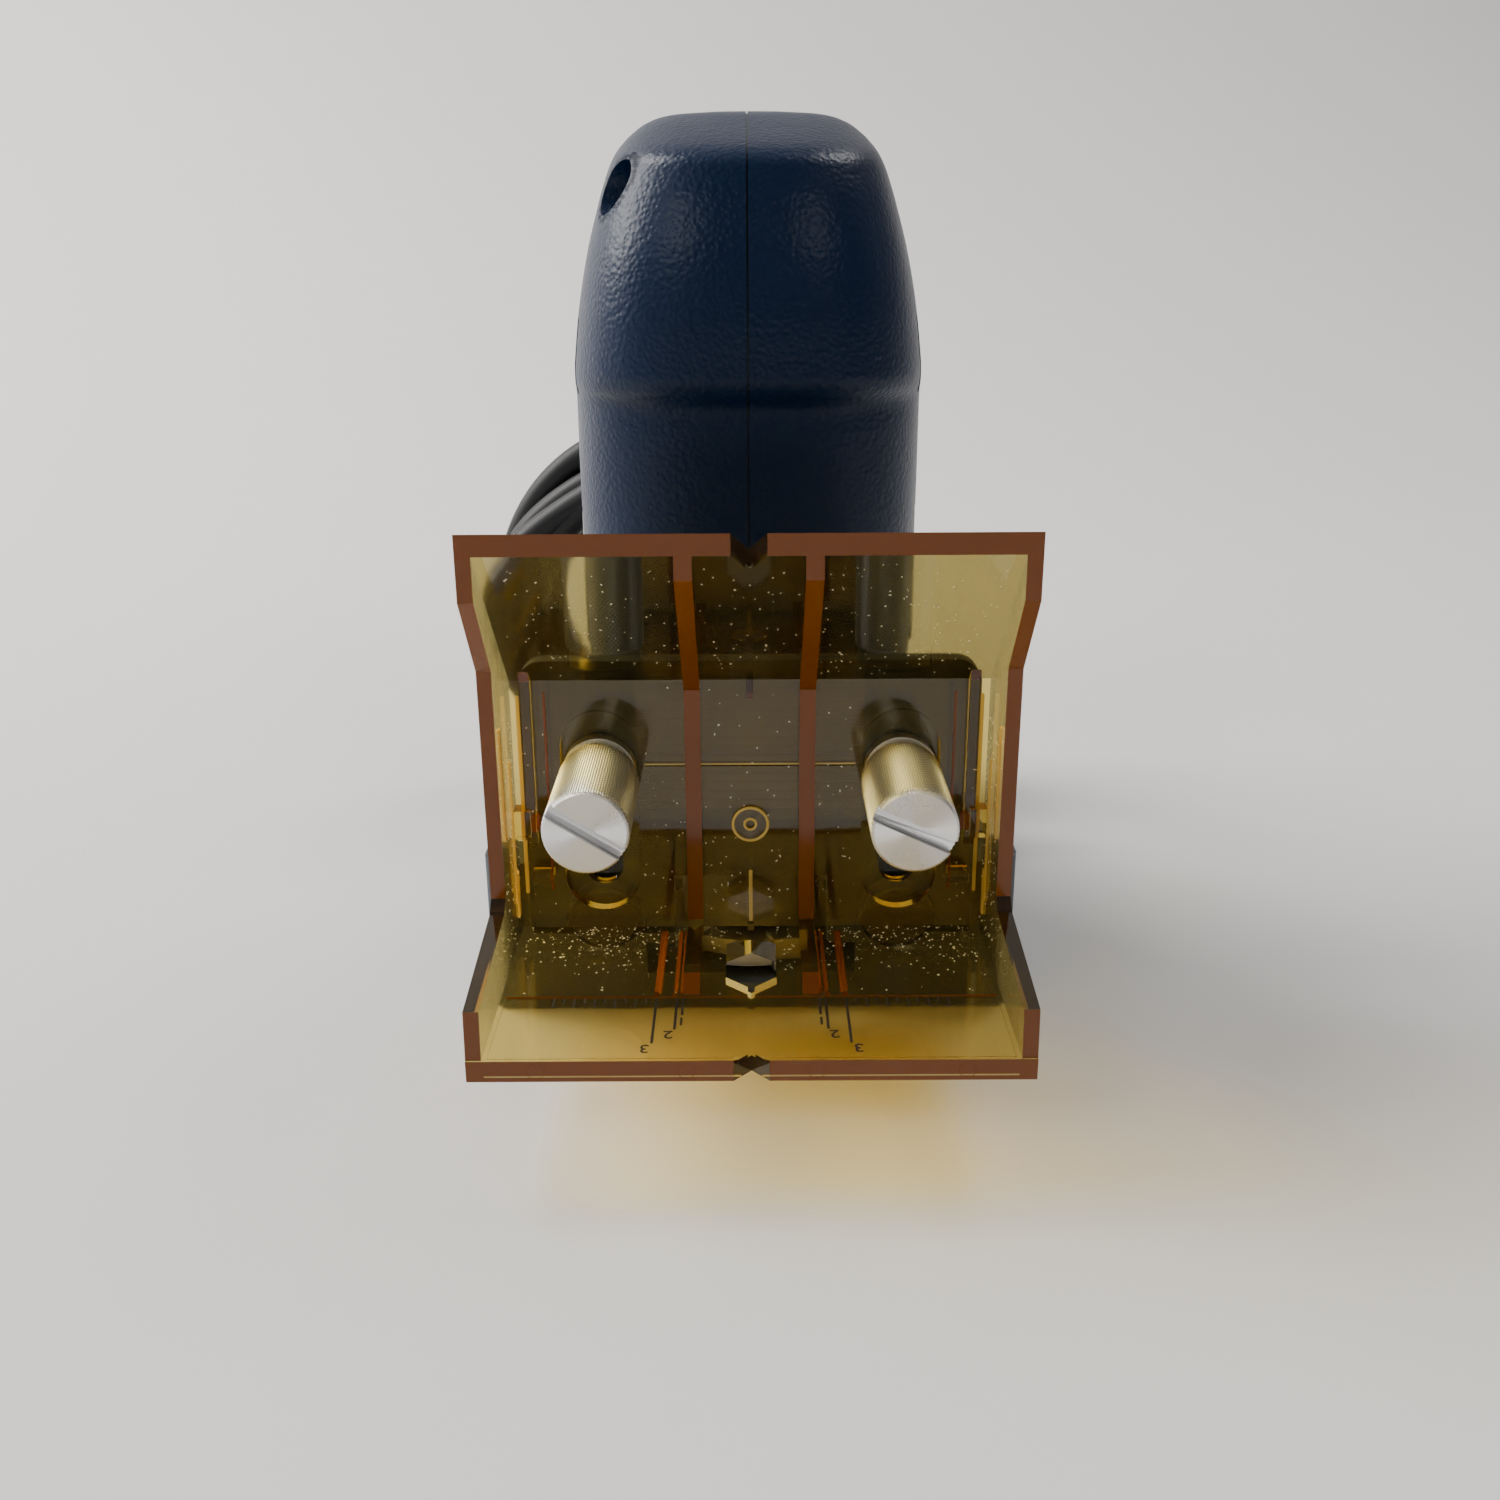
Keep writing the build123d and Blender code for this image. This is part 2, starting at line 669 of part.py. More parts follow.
with BuildPart() as cutter:
    with BuildSketch(Plane.XY.offset(cutter_bottom + 0.5)):
        Circle(cutter_radius - 2.6)
    extrude(amount=cutter_thick - 1)
    for tooth in range(cutter_teeth):
        mid = 2 * pi * tooth / cutter_teeth
        with BuildSketch(Plane.XY.offset(cutter_bottom)):
            with BuildLine():
                points = []
                for radius, swing in ((15.0, -0.34), (cutter_radius, 0.0), (18.6, -0.3)):
                    points.append((radius * cos(mid + swing), radius * sin(mid + swing)))
                points.append((15.0 * cos(mid + 0.02), 15.0 * sin(mid + 0.02)))
                Polyline(points[0], points[2], points[1], points[3], close=True)
            make_face()
        extrude(amount=cutter_thick)
    with BuildSketch(Plane.XY.offset(cutter_bottom)):
        Circle(spindle_radius + 0.01)
    extrude(amount=cutter_thick, mode=Mode.SUBTRACT)
finish(cutter, "cutter")

with BuildPart() as cutter_flange:
    with BuildSketch(Plane.XY.offset(cutter_bottom - 0.75)):
        Circle(8)
    extrude(amount=0.55)
finish(cutter_flange, "cutter_flange")

# --- motor -----------------------------------------------------------------------------
motor_plane = Plane(origin=(0, motor_y, 0), x_dir=(1, 0, 0), z_dir=(0, 0, 1))
with BuildPart() as armature_shaft:
    for low, high, radius in (
        (gear_z - 1, 40.0, journal_radius), (40.0, upper_bearing_z - 0.4, shaft_radius),
        (upper_bearing_z - 0.4, upper_bearing_z + 6.4, journal_radius),
    ):
        with BuildSketch(motor_plane.offset(low)):
            Circle(radius)
        extrude(amount=high - low)
finish(armature_shaft, "armature_shaft")

for name, low in (("motor_lower_bearing", motor_bearing_z + 0.2), ("motor_upper_bearing", upper_bearing_z)):
    with BuildPart() as motor_bearing:
        with BuildSketch(motor_plane.offset(low)):
            Circle(motor_bearing_radius)
            Circle(journal_radius + fit, mode=Mode.SUBTRACT)
        extrude(amount=motor_bearing_width)
    finish(motor_bearing, name)

with BuildPart() as fan:
    with BuildSketch(motor_plane.offset(fan_bottom)):
        Circle(fan_radius)
        Circle(shaft_radius + 0.01, mode=Mode.SUBTRACT)
    extrude(amount=1.6)
    with BuildSketch(motor_plane.offset(fan_bottom)):
        Circle(7)
        Circle(shaft_radius + 0.01, mode=Mode.SUBTRACT)
    extrude(amount=fan_height)
    with BuildSketch(motor_plane.offset(fan_bottom)):
        with PolarLocations(13.4, fan_blades):
            Rectangle(13.6, 1.2)
    extrude(amount=fan_height)
finish(fan, "fan")

with BuildPart() as armature_core:
    with BuildSketch(motor_plane.offset(core_bottom)):
        Circle(core_radius)
        with PolarLocations(core_radius - 1.5, 12):
            Rectangle(4, 1.6, mode=Mode.SUBTRACT)
        Circle(shaft_radius + 0.01, mode=Mode.SUBTRACT)
    extrude(amount=core_height)
finish(armature_core, "armature_core")

with BuildPart() as armature_winding:
    for low, high in ((core_bottom - 6, core_bottom - 0.1), (core_bottom + core_height + 0.1, 100.0)):
        with BuildSketch(motor_plane.offset(low)):
            Circle(core_radius - 1.6)
            Circle(shaft_radius + 0.3, mode=Mode.SUBTRACT)
        extrude(amount=high - low)
    fillet(armature_winding.edges().filter_by(GeomType.CIRCLE).filter_by(lambda e: e.radius > 8), 1.5)
finish(armature_winding, "armature_winding")

with BuildPart() as commutator:
    with BuildSketch(motor_plane.offset(commutator_bottom)):
        Circle(commutator_radius)
        with PolarLocations(commutator_radius, 24):
            Rectangle(1.2, 0.4, mode=Mode.SUBTRACT)
        Circle(shaft_radius + 0.01, mode=Mode.SUBTRACT)
    extrude(amount=commutator_height)
finish(commutator, "commutator")

coil_inner = core_radius + air_gap + 1.0
coil_outer = coil_inner + 4.4


def ring_sector(inner, outer, middle, spread):
    """A ring sector's face, centred on the angle middle."""
    low = middle - spread
    with BuildSketch() as sector:
        with BuildLine():
            arc_out = CenterArc((0, 0), outer, low, 2 * spread)
            arc_in = CenterArc((0, 0), inner, low, 2 * spread)
            Line(arc_out @ 0, arc_in @ 0)
            Line(arc_out @ 1, arc_in @ 1)
        make_face()
    return sector.sketch


with BuildPart() as stator:
    with BuildSketch(motor_plane.offset(stator_bottom)):
        Circle(stator_radius)
        Rectangle(2 * stator_radius, 2 * stator_flat, mode=Mode.INTERSECT)
        Circle(core_radius + air_gap, mode=Mode.SUBTRACT)
    extrude(amount=stator_height)
    for middle in (45, 135, 225, 315):
        with BuildSketch(motor_plane.offset(stator_bottom)):
            add(ring_sector(coil_inner - 0.2, coil_outer + 0.2, middle, 15.5))
        extrude(amount=stator_height, mode=Mode.SUBTRACT)
finish(stator, "stator")

with BuildPart() as field_coils:
    for middle in (0, 180):
        with BuildSketch(motor_plane.offset(stator_bottom - coil_overhang)):
            add(ring_sector(coil_inner, coil_outer, middle, 60))
        extrude(amount=stator_height + 2 * coil_overhang)
        with BuildSketch(motor_plane.offset(stator_bottom - 0.3)):
            add(ring_sector(coil_inner - 2, coil_outer + 2, middle, 30))
        extrude(amount=stator_height + 0.6, mode=Mode.SUBTRACT)
finish(field_coils, "field_coils")

brush_z = commutator_bottom + commutator_height / 2
with BuildPart() as carbon_brushes:
    for side in (-1, 1):
        with BuildSketch(Plane.YZ.offset(side * (commutator_radius + 0.1))):
            with Locations((motor_y, brush_z)):
                Rectangle(5, 4)
        extrude(amount=side * 11)
finish(carbon_brushes, "carbon_brushes")

with BuildPart() as brush_holders:
    for side in (-1, 1):
        with BuildSketch(Plane.YZ.offset(side * (commutator_radius + 3))):
            with Locations((motor_y, brush_z)):
                Rectangle(8, 7)
                Rectangle(5.2, 4.2, mode=Mode.SUBTRACT)
        extrude(amount=side * 13)
finish(brush_holders, "brush_holders")

with BuildPart() as bearing_bracket:
    with BuildSketch(motor_plane.offset(upper_bearing_z)):
        Circle(motor_bearing_radius + 2.5)
        Circle(motor_bearing_radius + 0.02, mode=Mode.SUBTRACT)
    extrude(amount=motor_bearing_width + 0.6)
    with BuildSketch(motor_plane.offset(upper_bearing_z + motor_bearing_width + 0.6)):
        Circle(motor_bearing_radius + 2.5)
        Rectangle(52, 9)
    extrude(amount=bracket_thick)
finish(bearing_bracket, "bearing_bracket")

# --- motor housing shells ------------------------------------------------------------------
# height, half width, front, rear and corner radius of the outer form
housing_form = [
    (flange_top + joint_gap, 28.5, -6.5, 56.0, 12.0), (72.0, 30.8, -7.6, 58.0, 13.0),
    (98.0, 31.3, -9.0, 59.0, 14.0), (103.5, 31.3, -9.4, 59.0, 14.0), (110.0, 31.2, -12.2, 59.0, 14.0),
    (120.0, 30.0, -12.3, 58.5, 14.0), (129.0, 28.1, -11.0, 57.0, 14.0), (137.0, 26.1, -8.2, 55.0, 14.0),
    (143.0, 24.5, -4.0, 52.0, 13.5), (149.0, 20.8, 8.0, 46.0, 12.0), (shell_top, 16.0, 20.0, 38.0, 6.0),
]


def housing_sections(inset, top):
    """The stack of rounded sections, moved in by inset, up to the height top."""
    sections = []
    for z, half, front, rear, corner in housing_form:
        if z <= top:
            with BuildSketch(Plane.XY.offset(z)) as section:
                with Locations((0, (front + rear) / 2)):
                    RectangleRounded(2 * (half - inset), rear - front - 2 * inset, corner - inset)
            sections.append(section.sketch)
    return sections


with BuildPart() as cavity:
    loft(housing_sections(shell_wall, 144), ruled=True)

with BuildPart() as outer_form:
    loft(housing_sections(0, shell_top), ruled=True)

screw_places = [(3.6, 139.0), (44.0, 139.0), (49.5, 92.0), (49.5, 64.0)]
with BuildPart() as seam_bosses:
    with BuildSketch(Plane.YZ):
        with Locations(*screw_places):
            Circle(shell_boss_radius)
    extrude(amount=40, both=True)
    add(outer_form.part, mode=Mode.INTERSECT)

switch_low, switch_high = 118.0, 136.0
exit_y = 58.9
for side, name in ((-1, "left"), (1, "right")):
    with BuildPart() as shell:
        add(outer_form.part)
        add(cavity.part, mode=Mode.SUBTRACT)
        # open foot over the gear housing's flange
        with BuildSketch(Plane.XY.offset(flange_top)):
            with Locations((0, 24.75)):
                RectangleRounded(2 * 25.9, 57.3, 9.4)
        extrude(amount=1, mode=Mode.SUBTRACT)
        add(seam_bosses.part)
        with BuildSketch(Plane.XY.offset(flange_top + joint_gap)):
            with Locations(*motor_screw_places):
                Circle(3.6)
        extrude(amount=12)
        with BuildSketch(Plane.XY.offset(flange_top + joint_gap)):
            with Locations(*motor_screw_places):
                Circle(boss_hole)
        extrude(amount=10, mode=Mode.SUBTRACT)
        # screw holes: clear on the left half, with a head recess
        with BuildSketch(Plane.YZ.offset(-40)):
            with Locations(*screw_places):
                Circle(boss_hole)
        extrude(amount=54, mode=Mode.SUBTRACT)
        with BuildSketch(Plane.YZ.offset(-40)):
            with Locations(*screw_places):
                Circle(3.4)
        extrude(amount=24, mode=Mode.SUBTRACT)
        # cooling slots on both sides
        with BuildSketch(Plane.YZ):
            with Locations((22, 112)):
                with GridLocations(5.0, 1, 6, 1):
                    SlotOverall(13, 2.2, rotation=90)
        extrude(amount=40, both=True, mode=Mode.SUBTRACT)
        # shallow seats for the labels
        for face in (-1, 1):
            with BuildSketch(Plane.YZ.offset(face * 29.6)):
                with Locations((24, 73)):
                    RectangleRounded(34.4, 24.4, 2.2)
            extrude(amount=face * 6, mode=Mode.SUBTRACT)
        # switch slot and cord exit in the rear wall
        with BuildSketch(forward(66)):
            with Locations((0, (switch_low + switch_high) / 2)):
                Rectangle(10.6, switch_high - switch_low)
        extrude(amount=14, mode=Mode.SUBTRACT)
        with BuildSketch(forward(66)):
            with Locations((0, boot_top)):
                Circle(5.6)
        extrude(amount=14, mode=Mode.SUBTRACT)
        split(bisect_by=Plane.YZ.offset(side * seam), keep=Keep.TOP if side > 0 else Keep.BOTTOM)
    finish(shell, f"housing_{name}")

    with BuildPart() as label:
        with BuildSketch(Plane.YZ.offset(side * 29.65)):
            with Locations((24, 73)):
                RectangleRounded(34, 24, 2)
        extrude(amount=side * 0.5)
    finish(label, f"label_{name}")

with BuildPart() as housing_screws:
    with BuildSketch(Plane.YZ.offset(-15.9)):
        with Locations(*screw_places):
            Circle(3.1)
    extrude(amount=-2)
    with BuildSketch(Plane.YZ.offset(-15.9)):
        with Locations(*screw_places):
            Circle(boss_hole - fit)
    extrude(amount=27)
    for y, z in screw_places:
        with BuildSketch(Plane.YZ.offset(-17.9)):
            with Locations((y, z)):
                Rectangle(3.6, 0.9)
                Rectangle(0.9, 3.6)
        extrude(amount=1, mode=Mode.SUBTRACT)
finish(housing_screws, "housing_screws")

with BuildPart() as motor_screws:
    with BuildSketch(Plane.XY.offset(flange_bottom - 0.1)):
        with Locations(*motor_screw_places):
            Circle(3.0)
    extrude(amount=-2)
    with BuildSketch(Plane.XY.offset(flange_bottom - 0.1)):
        with Locations(*motor_screw_places):
            Circle(boss_hole - fit)
    extrude(amount=12)
finish(motor_screws, "motor_screws")

# --- switch ------------------------------------------------------------------------------------
button_travel = 5.0
with BuildPart() as switch_body:
    with BuildSketch(Plane.XY.offset(switch_low - 1)):
        with Locations((8.5, 44.5)):
            Rectangle(6, 9)
    extrude(amount=16)
finish(switch_body, "switch_body")

with BuildPart() as switch_button:
    with BuildSketch(forward(52.2)):
        with Locations((0, switch_low + 6)):
            Rectangle(14, 11)
    extrude(amount=2.4)
    with BuildSketch(forward(60.2)):
        with Locations((0, switch_low + 6)):
            RectangleRounded(9.6, 8, 1.5)
    extrude(amount=9)
    for step in range(3):
        with BuildSketch(forward(60.2)):
            with Locations((0, switch_low + 3.6 + 2.4 * step)):
                Rectangle(9.6, 0.8)
        extrude(amount=0.5, mode=Mode.SUBTRACT)
finish(switch_button, "switch_button")

# --- cord ---------------------------------------------------------------------------------------
boot_dir = Vector(0, 0.62, -0.785).normalized()
boot_start = Vector(0, exit_y - 6.2, boot_top)
boot_knee = Vector(0, exit_y + 2, boot_top)
boot_end = boot_knee + boot_dir * boot_length
with BuildPart() as strain_relief:
    with BuildSketch(forward(exit_y - 6.2)):
        with Locations((0, boot_top)):
            Circle(7.4)
    extrude(amount=-2.2)
    with BuildSketch(forward(exit_y - 4.2)):
        with Locations((0, boot_top)):
            Circle(5.4)
    extrude(amount=-7)
    with BuildSketch(Plane(origin=boot_knee - boot_dir * 1, z_dir=boot_dir)):
        Circle(5.2)
    with BuildSketch(Plane(origin=boot_end, z_dir=boot_dir)):
        Circle(4.2)
    loft()
finish(strain_relief, "strain_relief")

coil_centre = Vector(-14, 97.6, 46.3)
lean = 12.0
coil_up = Vector(0, -sin(radians(lean)), cos(radians(lean)))
coil_plane = Plane(origin=coil_centre, x_dir=(1, 0, 0), z_dir=(0, -cos(radians(lean)), -sin(radians(lean))))
coil_half_width = 46.0
coil_half_height = 45.0
coil_band = 16.0
coil_half_depth = 10.4
with BuildPart() as cord_coil:
    with BuildSketch(coil_plane.offset(-coil_half_depth)):
        Ellipse(coil_half_width, coil_half_height)
        Ellipse(coil_half_width - coil_band, coil_half_height - coil_band, mode=Mode.SUBTRACT)
    extrude(amount=2 * coil_half_depth)
finish(cord_coil, "cord_coil")

cord_route = [boot_end, Vector(3.5, 79.4, 62), Vector(11, 82, 47.5), Vector(21.5, 86.5, 36.5)]


def cord_tube(points):
    """Straight runs joined by tangent arcs, each as large as its two runs allow."""
    radii = []
    for before, corner, after in zip(points, points[1:], points[2:]):
        turn = (corner - before).get_angle(after - corner)
        shorter = min((corner - before).length, (after - corner).length)
        radii.append(0.45 * shorter / tan(radians(turn / 2)))
    with BuildPart() as tube:
        with BuildLine():
            line = FilletPolyline(*points, radius=radii)
        with BuildSketch(Plane(origin=line @ 0, z_dir=line % 0)):
            Circle(cord_radius)
        sweep(path=line)
    return tube


finish(cord_tube(cord_route), "cord_lead")

tail_route = [
    Vector(-4, 107.0, 3.9), Vector(-18, 107.9, 3.6), Vector(-30, 113.6, 3.6), Vector(-38.5, 124, 4.6),
    Vector(-42, 137, 6.4),
]
finish(cord_tube(tail_route), "cord_tail")

plug_dir = tail_route[-1] - tail_route[-2]
plug_dir = Vector(plug_dir.X, plug_dir.Y, 0).normalized()
plug_start = (tail_route[-1].X, tail_route[-1].Y, 7.2)
plug_plane = Plane(origin=plug_start, x_dir=(plug_dir.Y, -plug_dir.X, 0), z_dir=plug_dir)
with BuildPart() as plug_body:
    with BuildSketch(plug_plane):
        RectangleRounded(10, 10, 3)
    with BuildSketch(plug_plane.offset(10)):
        RectangleRounded(22, 13.6, 4)
    loft()
    with BuildSketch(plug_plane.offset(10)):
        RectangleRounded(22, 13.6, 4)
    extrude(amount=16)
finish(plug_body, "plug_body")

with BuildPart() as plug_pins:
    with BuildSketch(plug_plane.offset(26)):
        with Locations((-6.35, 0), (6.35, 0)):
            Rectangle(1.5, 6.4)
    extrude(amount=17)
finish(plug_pins, "plug_pins")

tie_centre = coil_centre + coil_up * (coil_half_height - coil_band / 2)
with BuildPart() as coil_tie:
    tie_plane = Plane(origin=tie_centre, x_dir=coil_up, z_dir=(1, 0, 0))
    with BuildSketch(tie_plane.offset(-3)):
        Rectangle(coil_band + 2.4, 2 * coil_half_depth + 2.4)
        Rectangle(coil_band + 0.2, 2 * coil_half_depth + 0.2, mode=Mode.SUBTRACT)
    extrude(amount=6)
finish(coil_tie, "coil_tie")

# --- dust outlet ------------------------------------------------------------------------------------
with BuildPart() as dust_outlet:
    with BuildSketch(forward(base_rear + dust_length)):
        with Locations((0, dust_z)):
            Circle(dust_radius + 1.8)
    extrude(amount=dust_length - joint_gap)
    with BuildSketch(forward(base_rear + 3)):
        with Locations((0, dust_z + 1)):
            RectangleRounded(27, 20, 2)
    extrude(amount=3 - joint_gap)
    with BuildSketch(forward(base_rear + dust_length)):
        with Locations((0, dust_z)):
            Circle(dust_radius)
    extrude(amount=dust_length, mode=Mode.SUBTRACT)
finish(dust_outlet, "dust_outlet")

print(len(written), "nodes")
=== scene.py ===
import bpy
import bmesh
import json
import random
from math import cos, pi, radians, sin
from mathutils import Matrix, Vector


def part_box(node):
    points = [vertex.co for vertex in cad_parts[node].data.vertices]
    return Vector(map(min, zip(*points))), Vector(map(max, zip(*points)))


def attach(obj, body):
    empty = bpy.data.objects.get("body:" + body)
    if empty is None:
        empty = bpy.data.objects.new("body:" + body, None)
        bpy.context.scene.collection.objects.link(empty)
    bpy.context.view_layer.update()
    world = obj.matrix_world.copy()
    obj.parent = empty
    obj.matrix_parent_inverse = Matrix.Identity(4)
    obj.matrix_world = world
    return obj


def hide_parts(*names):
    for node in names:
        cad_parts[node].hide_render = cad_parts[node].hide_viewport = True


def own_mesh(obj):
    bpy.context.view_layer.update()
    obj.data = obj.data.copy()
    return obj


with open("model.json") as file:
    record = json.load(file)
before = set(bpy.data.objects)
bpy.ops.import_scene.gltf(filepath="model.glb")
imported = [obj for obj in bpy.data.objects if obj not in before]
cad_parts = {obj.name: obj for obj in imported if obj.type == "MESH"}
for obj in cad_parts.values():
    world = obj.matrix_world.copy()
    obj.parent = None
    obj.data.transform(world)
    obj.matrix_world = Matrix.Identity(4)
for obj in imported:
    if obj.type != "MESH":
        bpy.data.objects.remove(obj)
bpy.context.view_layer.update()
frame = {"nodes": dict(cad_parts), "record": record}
nodes = frame["nodes"]
mm = 0.001
rng = random.Random(7)


def linkObject(name, mesh, body=None, material=None):
    # puts a mesh in the scene, with its finish and the body it rides on
    piece = bpy.data.objects.new(name, mesh)
    bpy.context.scene.collection.objects.link(piece)
    if material:
        piece.data.materials.append(material)
    if body:
        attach(piece, body)
    return piece


def meshFrom(name, points, faces, smooth=True):
    mesh = bpy.data.meshes.new(name)
    mesh.from_pydata(points, [], faces)
    mesh.update()
    for polygon in mesh.polygons:
        polygon.use_smooth = smooth
    return mesh


def faceOutward(mesh):
    shape = bmesh.new()
    shape.from_mesh(mesh)
    bmesh.ops.recalc_face_normals(shape, faces=shape.faces)
    shape.to_mesh(mesh)
    shape.free()


def meshOf(shape, name, outward=True):
    # turns a bmesh into a mesh and frees it
    if outward:
        bmesh.ops.recalc_face_normals(shape, faces=shape.faces)
    mesh = bpy.data.meshes.new(name)
    shape.to_mesh(mesh)
    shape.free()
    return mesh


def cubeIn(shape, low, high, turn=None):
    # a box between two corners
    where = Matrix.Translation((low + high) / 2) @ (turn or Matrix()) @ Matrix.Diagonal((*(high - low), 1))
    return bmesh.ops.create_cube(shape, size=1, matrix=where)["verts"]


def bakeModifiers(piece):
    # the modifier stack becomes the piece's own mesh
    graph = bpy.context.evaluated_depsgraph_get()
    graph.update()
    mesh = bpy.data.meshes.new_from_object(piece.evaluated_get(graph))
    piece.modifiers.clear()
    piece.data = mesh
    return piece


def cutAway(piece, cutters):
    for cutter in cutters:
        step = piece.modifiers.new("cut", "BOOLEAN")
        step.operation = "DIFFERENCE"
        step.solver = "EXACT"
        step.object = cutter
    bakeModifiers(piece)
    for cutter in cutters:
        bpy.data.objects.remove(cutter)


def tempCylinder(radius, start, end, sides=48):
    # a throwaway solid from start to end, used for cutting
    start, end = Vector(start), Vector(end)
    shape = bmesh.new()
    turn = (end - start).to_track_quat("Z", "Y").to_matrix().to_4x4()
    turn.translation = (start + end) / 2
    bmesh.ops.create_cone(shape, cap_ends=True, segments=sides, radius1=radius, radius2=radius,
                          depth=(end - start).length, matrix=turn)
    return linkObject("cutter", meshOf(shape, "cutter", outward=False))


def tempBox(low, high, turn=None):
    shape = bmesh.new()
    cubeIn(shape, Vector(low), Vector(high), turn)
    return linkObject("cutter", meshOf(shape, "cutter", outward=False))


def softEdges(piece, width, segments=2, angle=40):
    # a small round on every sharp edge, so that edges catch the light
    step = piece.modifiers.new("soft edges", "BEVEL")
    step.width = width
    step.segments = segments
    step.limit_method = "ANGLE"
    step.angle_limit = radians(angle)
    step.harden_normals = False
    step.miter_outer = "MITER_ARC"


def newGroup(name, inputs, outputs):
    # an empty node group with named sockets
    group = bpy.data.node_groups.new(name, "ShaderNodeTree")
    for label, kind, value in inputs:
        socket = group.interface.new_socket(label, in_out="INPUT", socket_type=kind)
        socket.default_value = value
    for label, kind in outputs:
        group.interface.new_socket(label, in_out="OUTPUT", socket_type=kind)
    return group, group.nodes.new("NodeGroupInput"), group.nodes.new("NodeGroupOutput")


def place(tree, kind, **values):
    # adds a node and sets its properties; keys that are sockets are set or linked
    node = tree.nodes.new(kind)
    for key, value in values.items():
        if key.startswith("i"):
            target = node.inputs[int(key[1:])] if key[1:].isdigit() else node.inputs[key[1:].replace("_", " ")]
            if isinstance(value, bpy.types.NodeSocket):
                tree.links.new(value, target)
            else:
                target.default_value = value
        else:
            setattr(node, key, value)
    return node


def mapRange(tree, source, low, high, toLow=0.0, toHigh=1.0):
    node = place(tree, "ShaderNodeMapRange", iValue=source)
    for key, value in (("From Min", low), ("From Max", high), ("To Min", toLow), ("To Max", toHigh)):
        node.inputs[key].default_value = value
    return node.outputs[0]


def buildGrain():
    # fine moulded or cast grain: cells broken up by noise
    group, enter, leave = newGroup(
        "surfaceGrain", [("Scale", "NodeSocketFloat", 2000.0), ("Cells", "NodeSocketFloat", 0.6)],
        [("Height", "NodeSocketFloat"), ("Patch", "NodeSocketFloat")])
    coord = place(group, "ShaderNodeTexCoord").outputs["Object"]
    scale = enter.outputs["Scale"]
    cells = place(group, "ShaderNodeTexVoronoi", feature="SMOOTH_F1", iVector=coord, iScale=scale)
    noise = place(group, "ShaderNodeTexNoise", iVector=coord, iScale=scale, iDetail=3.0)
    both = place(group, "ShaderNodeMix", i0=enter.outputs["Cells"], i2=noise.outputs["Fac"],
                 i3=cells.outputs["Distance"])
    broad = place(group, "ShaderNodeTexNoise", iVector=coord, iScale=38.0, iDetail=4.0, iRoughness=0.6)
    group.links.new(both.outputs[0], leave.inputs["Height"])
    group.links.new(broad.outputs["Fac"], leave.inputs["Patch"])
    return group


def buildWear():
    # bright rubbed edges, broken up by noise
    group, enter, leave = newGroup(
        "edgeWear", [("Radius", "NodeSocketFloat", 0.0005), ("Amount", "NodeSocketFloat", 0.5)],
        [("Mask", "NodeSocketFloat")])
    rounded = place(group, "ShaderNodeBevel", samples=4, iRadius=enter.outputs["Radius"])
    flat = place(group, "ShaderNodeNewGeometry")
    match = place(group, "ShaderNodeVectorMath", operation="DOT_PRODUCT", i0=rounded.outputs[0],
                  i1=flat.outputs["Normal"])
    edge = mapRange(group, match.outputs["Value"], 0.97, 0.75)
    coord = place(group, "ShaderNodeTexCoord").outputs["Object"]
    breakUp = place(group, "ShaderNodeTexNoise", iVector=coord, iScale=420.0, iDetail=5.0, iRoughness=0.7)
    sharp = mapRange(group, breakUp.outputs["Fac"], 0.45, 0.62)
    worn = place(group, "ShaderNodeMath", operation="MULTIPLY", i0=edge, i1=sharp)
    worn = place(group, "ShaderNodeMath", operation="MULTIPLY", i0=worn.outputs[0], i1=enter.outputs["Amount"])
    group.links.new(worn.outputs[0], leave.inputs["Mask"])
    return group


def buildDust():
    # pale wood dust settled on faces that look up
    group, enter, leave = newGroup("woodDust", [("Amount", "NodeSocketFloat", 0.3)], [("Mask", "NodeSocketFloat")])
    coord = place(group, "ShaderNodeTexCoord").outputs["Object"]
    specks = place(group, "ShaderNodeTexVoronoi", iVector=coord, iScale=1300.0)
    mask = mapRange(group, specks.outputs["Distance"], 0.22, 0.12)
    cloud = place(group, "ShaderNodeTexNoise", iVector=coord, iScale=70.0, iDetail=3.0)
    thick = mapRange(group, cloud.outputs["Fac"], 0.5, 0.75)
    up = place(group, "ShaderNodeSeparateXYZ", i0=place(group, "ShaderNodeNewGeometry").outputs["Normal"])
    facing = mapRange(group, up.outputs[2], 0.1, 1.0)
    for factor in (thick, facing, enter.outputs["Amount"]):
        mask = place(group, "ShaderNodeMath", operation="MULTIPLY", i0=mask, i1=factor).outputs[0]
    group.links.new(mask, leave.inputs["Mask"])
    return group


grainGroup, wearGroup, dustGroup = buildGrain(), buildWear(), buildDust()


def useGroup(tree, group, **values):
    node = tree.nodes.new("ShaderNodeGroup")
    node.node_tree = group
    for key, value in values.items():
        node.inputs[key].default_value = value
    return node


def blendColor(tree, factor, first, second):
    node = place(tree, "ShaderNodeMix", data_type="RGBA")
    for index, value in ((0, factor), (6, first), (7, second)):  # factor, then the two colours
        if isinstance(value, bpy.types.NodeSocket):
            tree.links.new(value, node.inputs[index])
        else:
            node.inputs[index].default_value = value if index == 0 else (*value, 1)
    return node.outputs[2]


dustColor = (0.62, 0.5, 0.33)


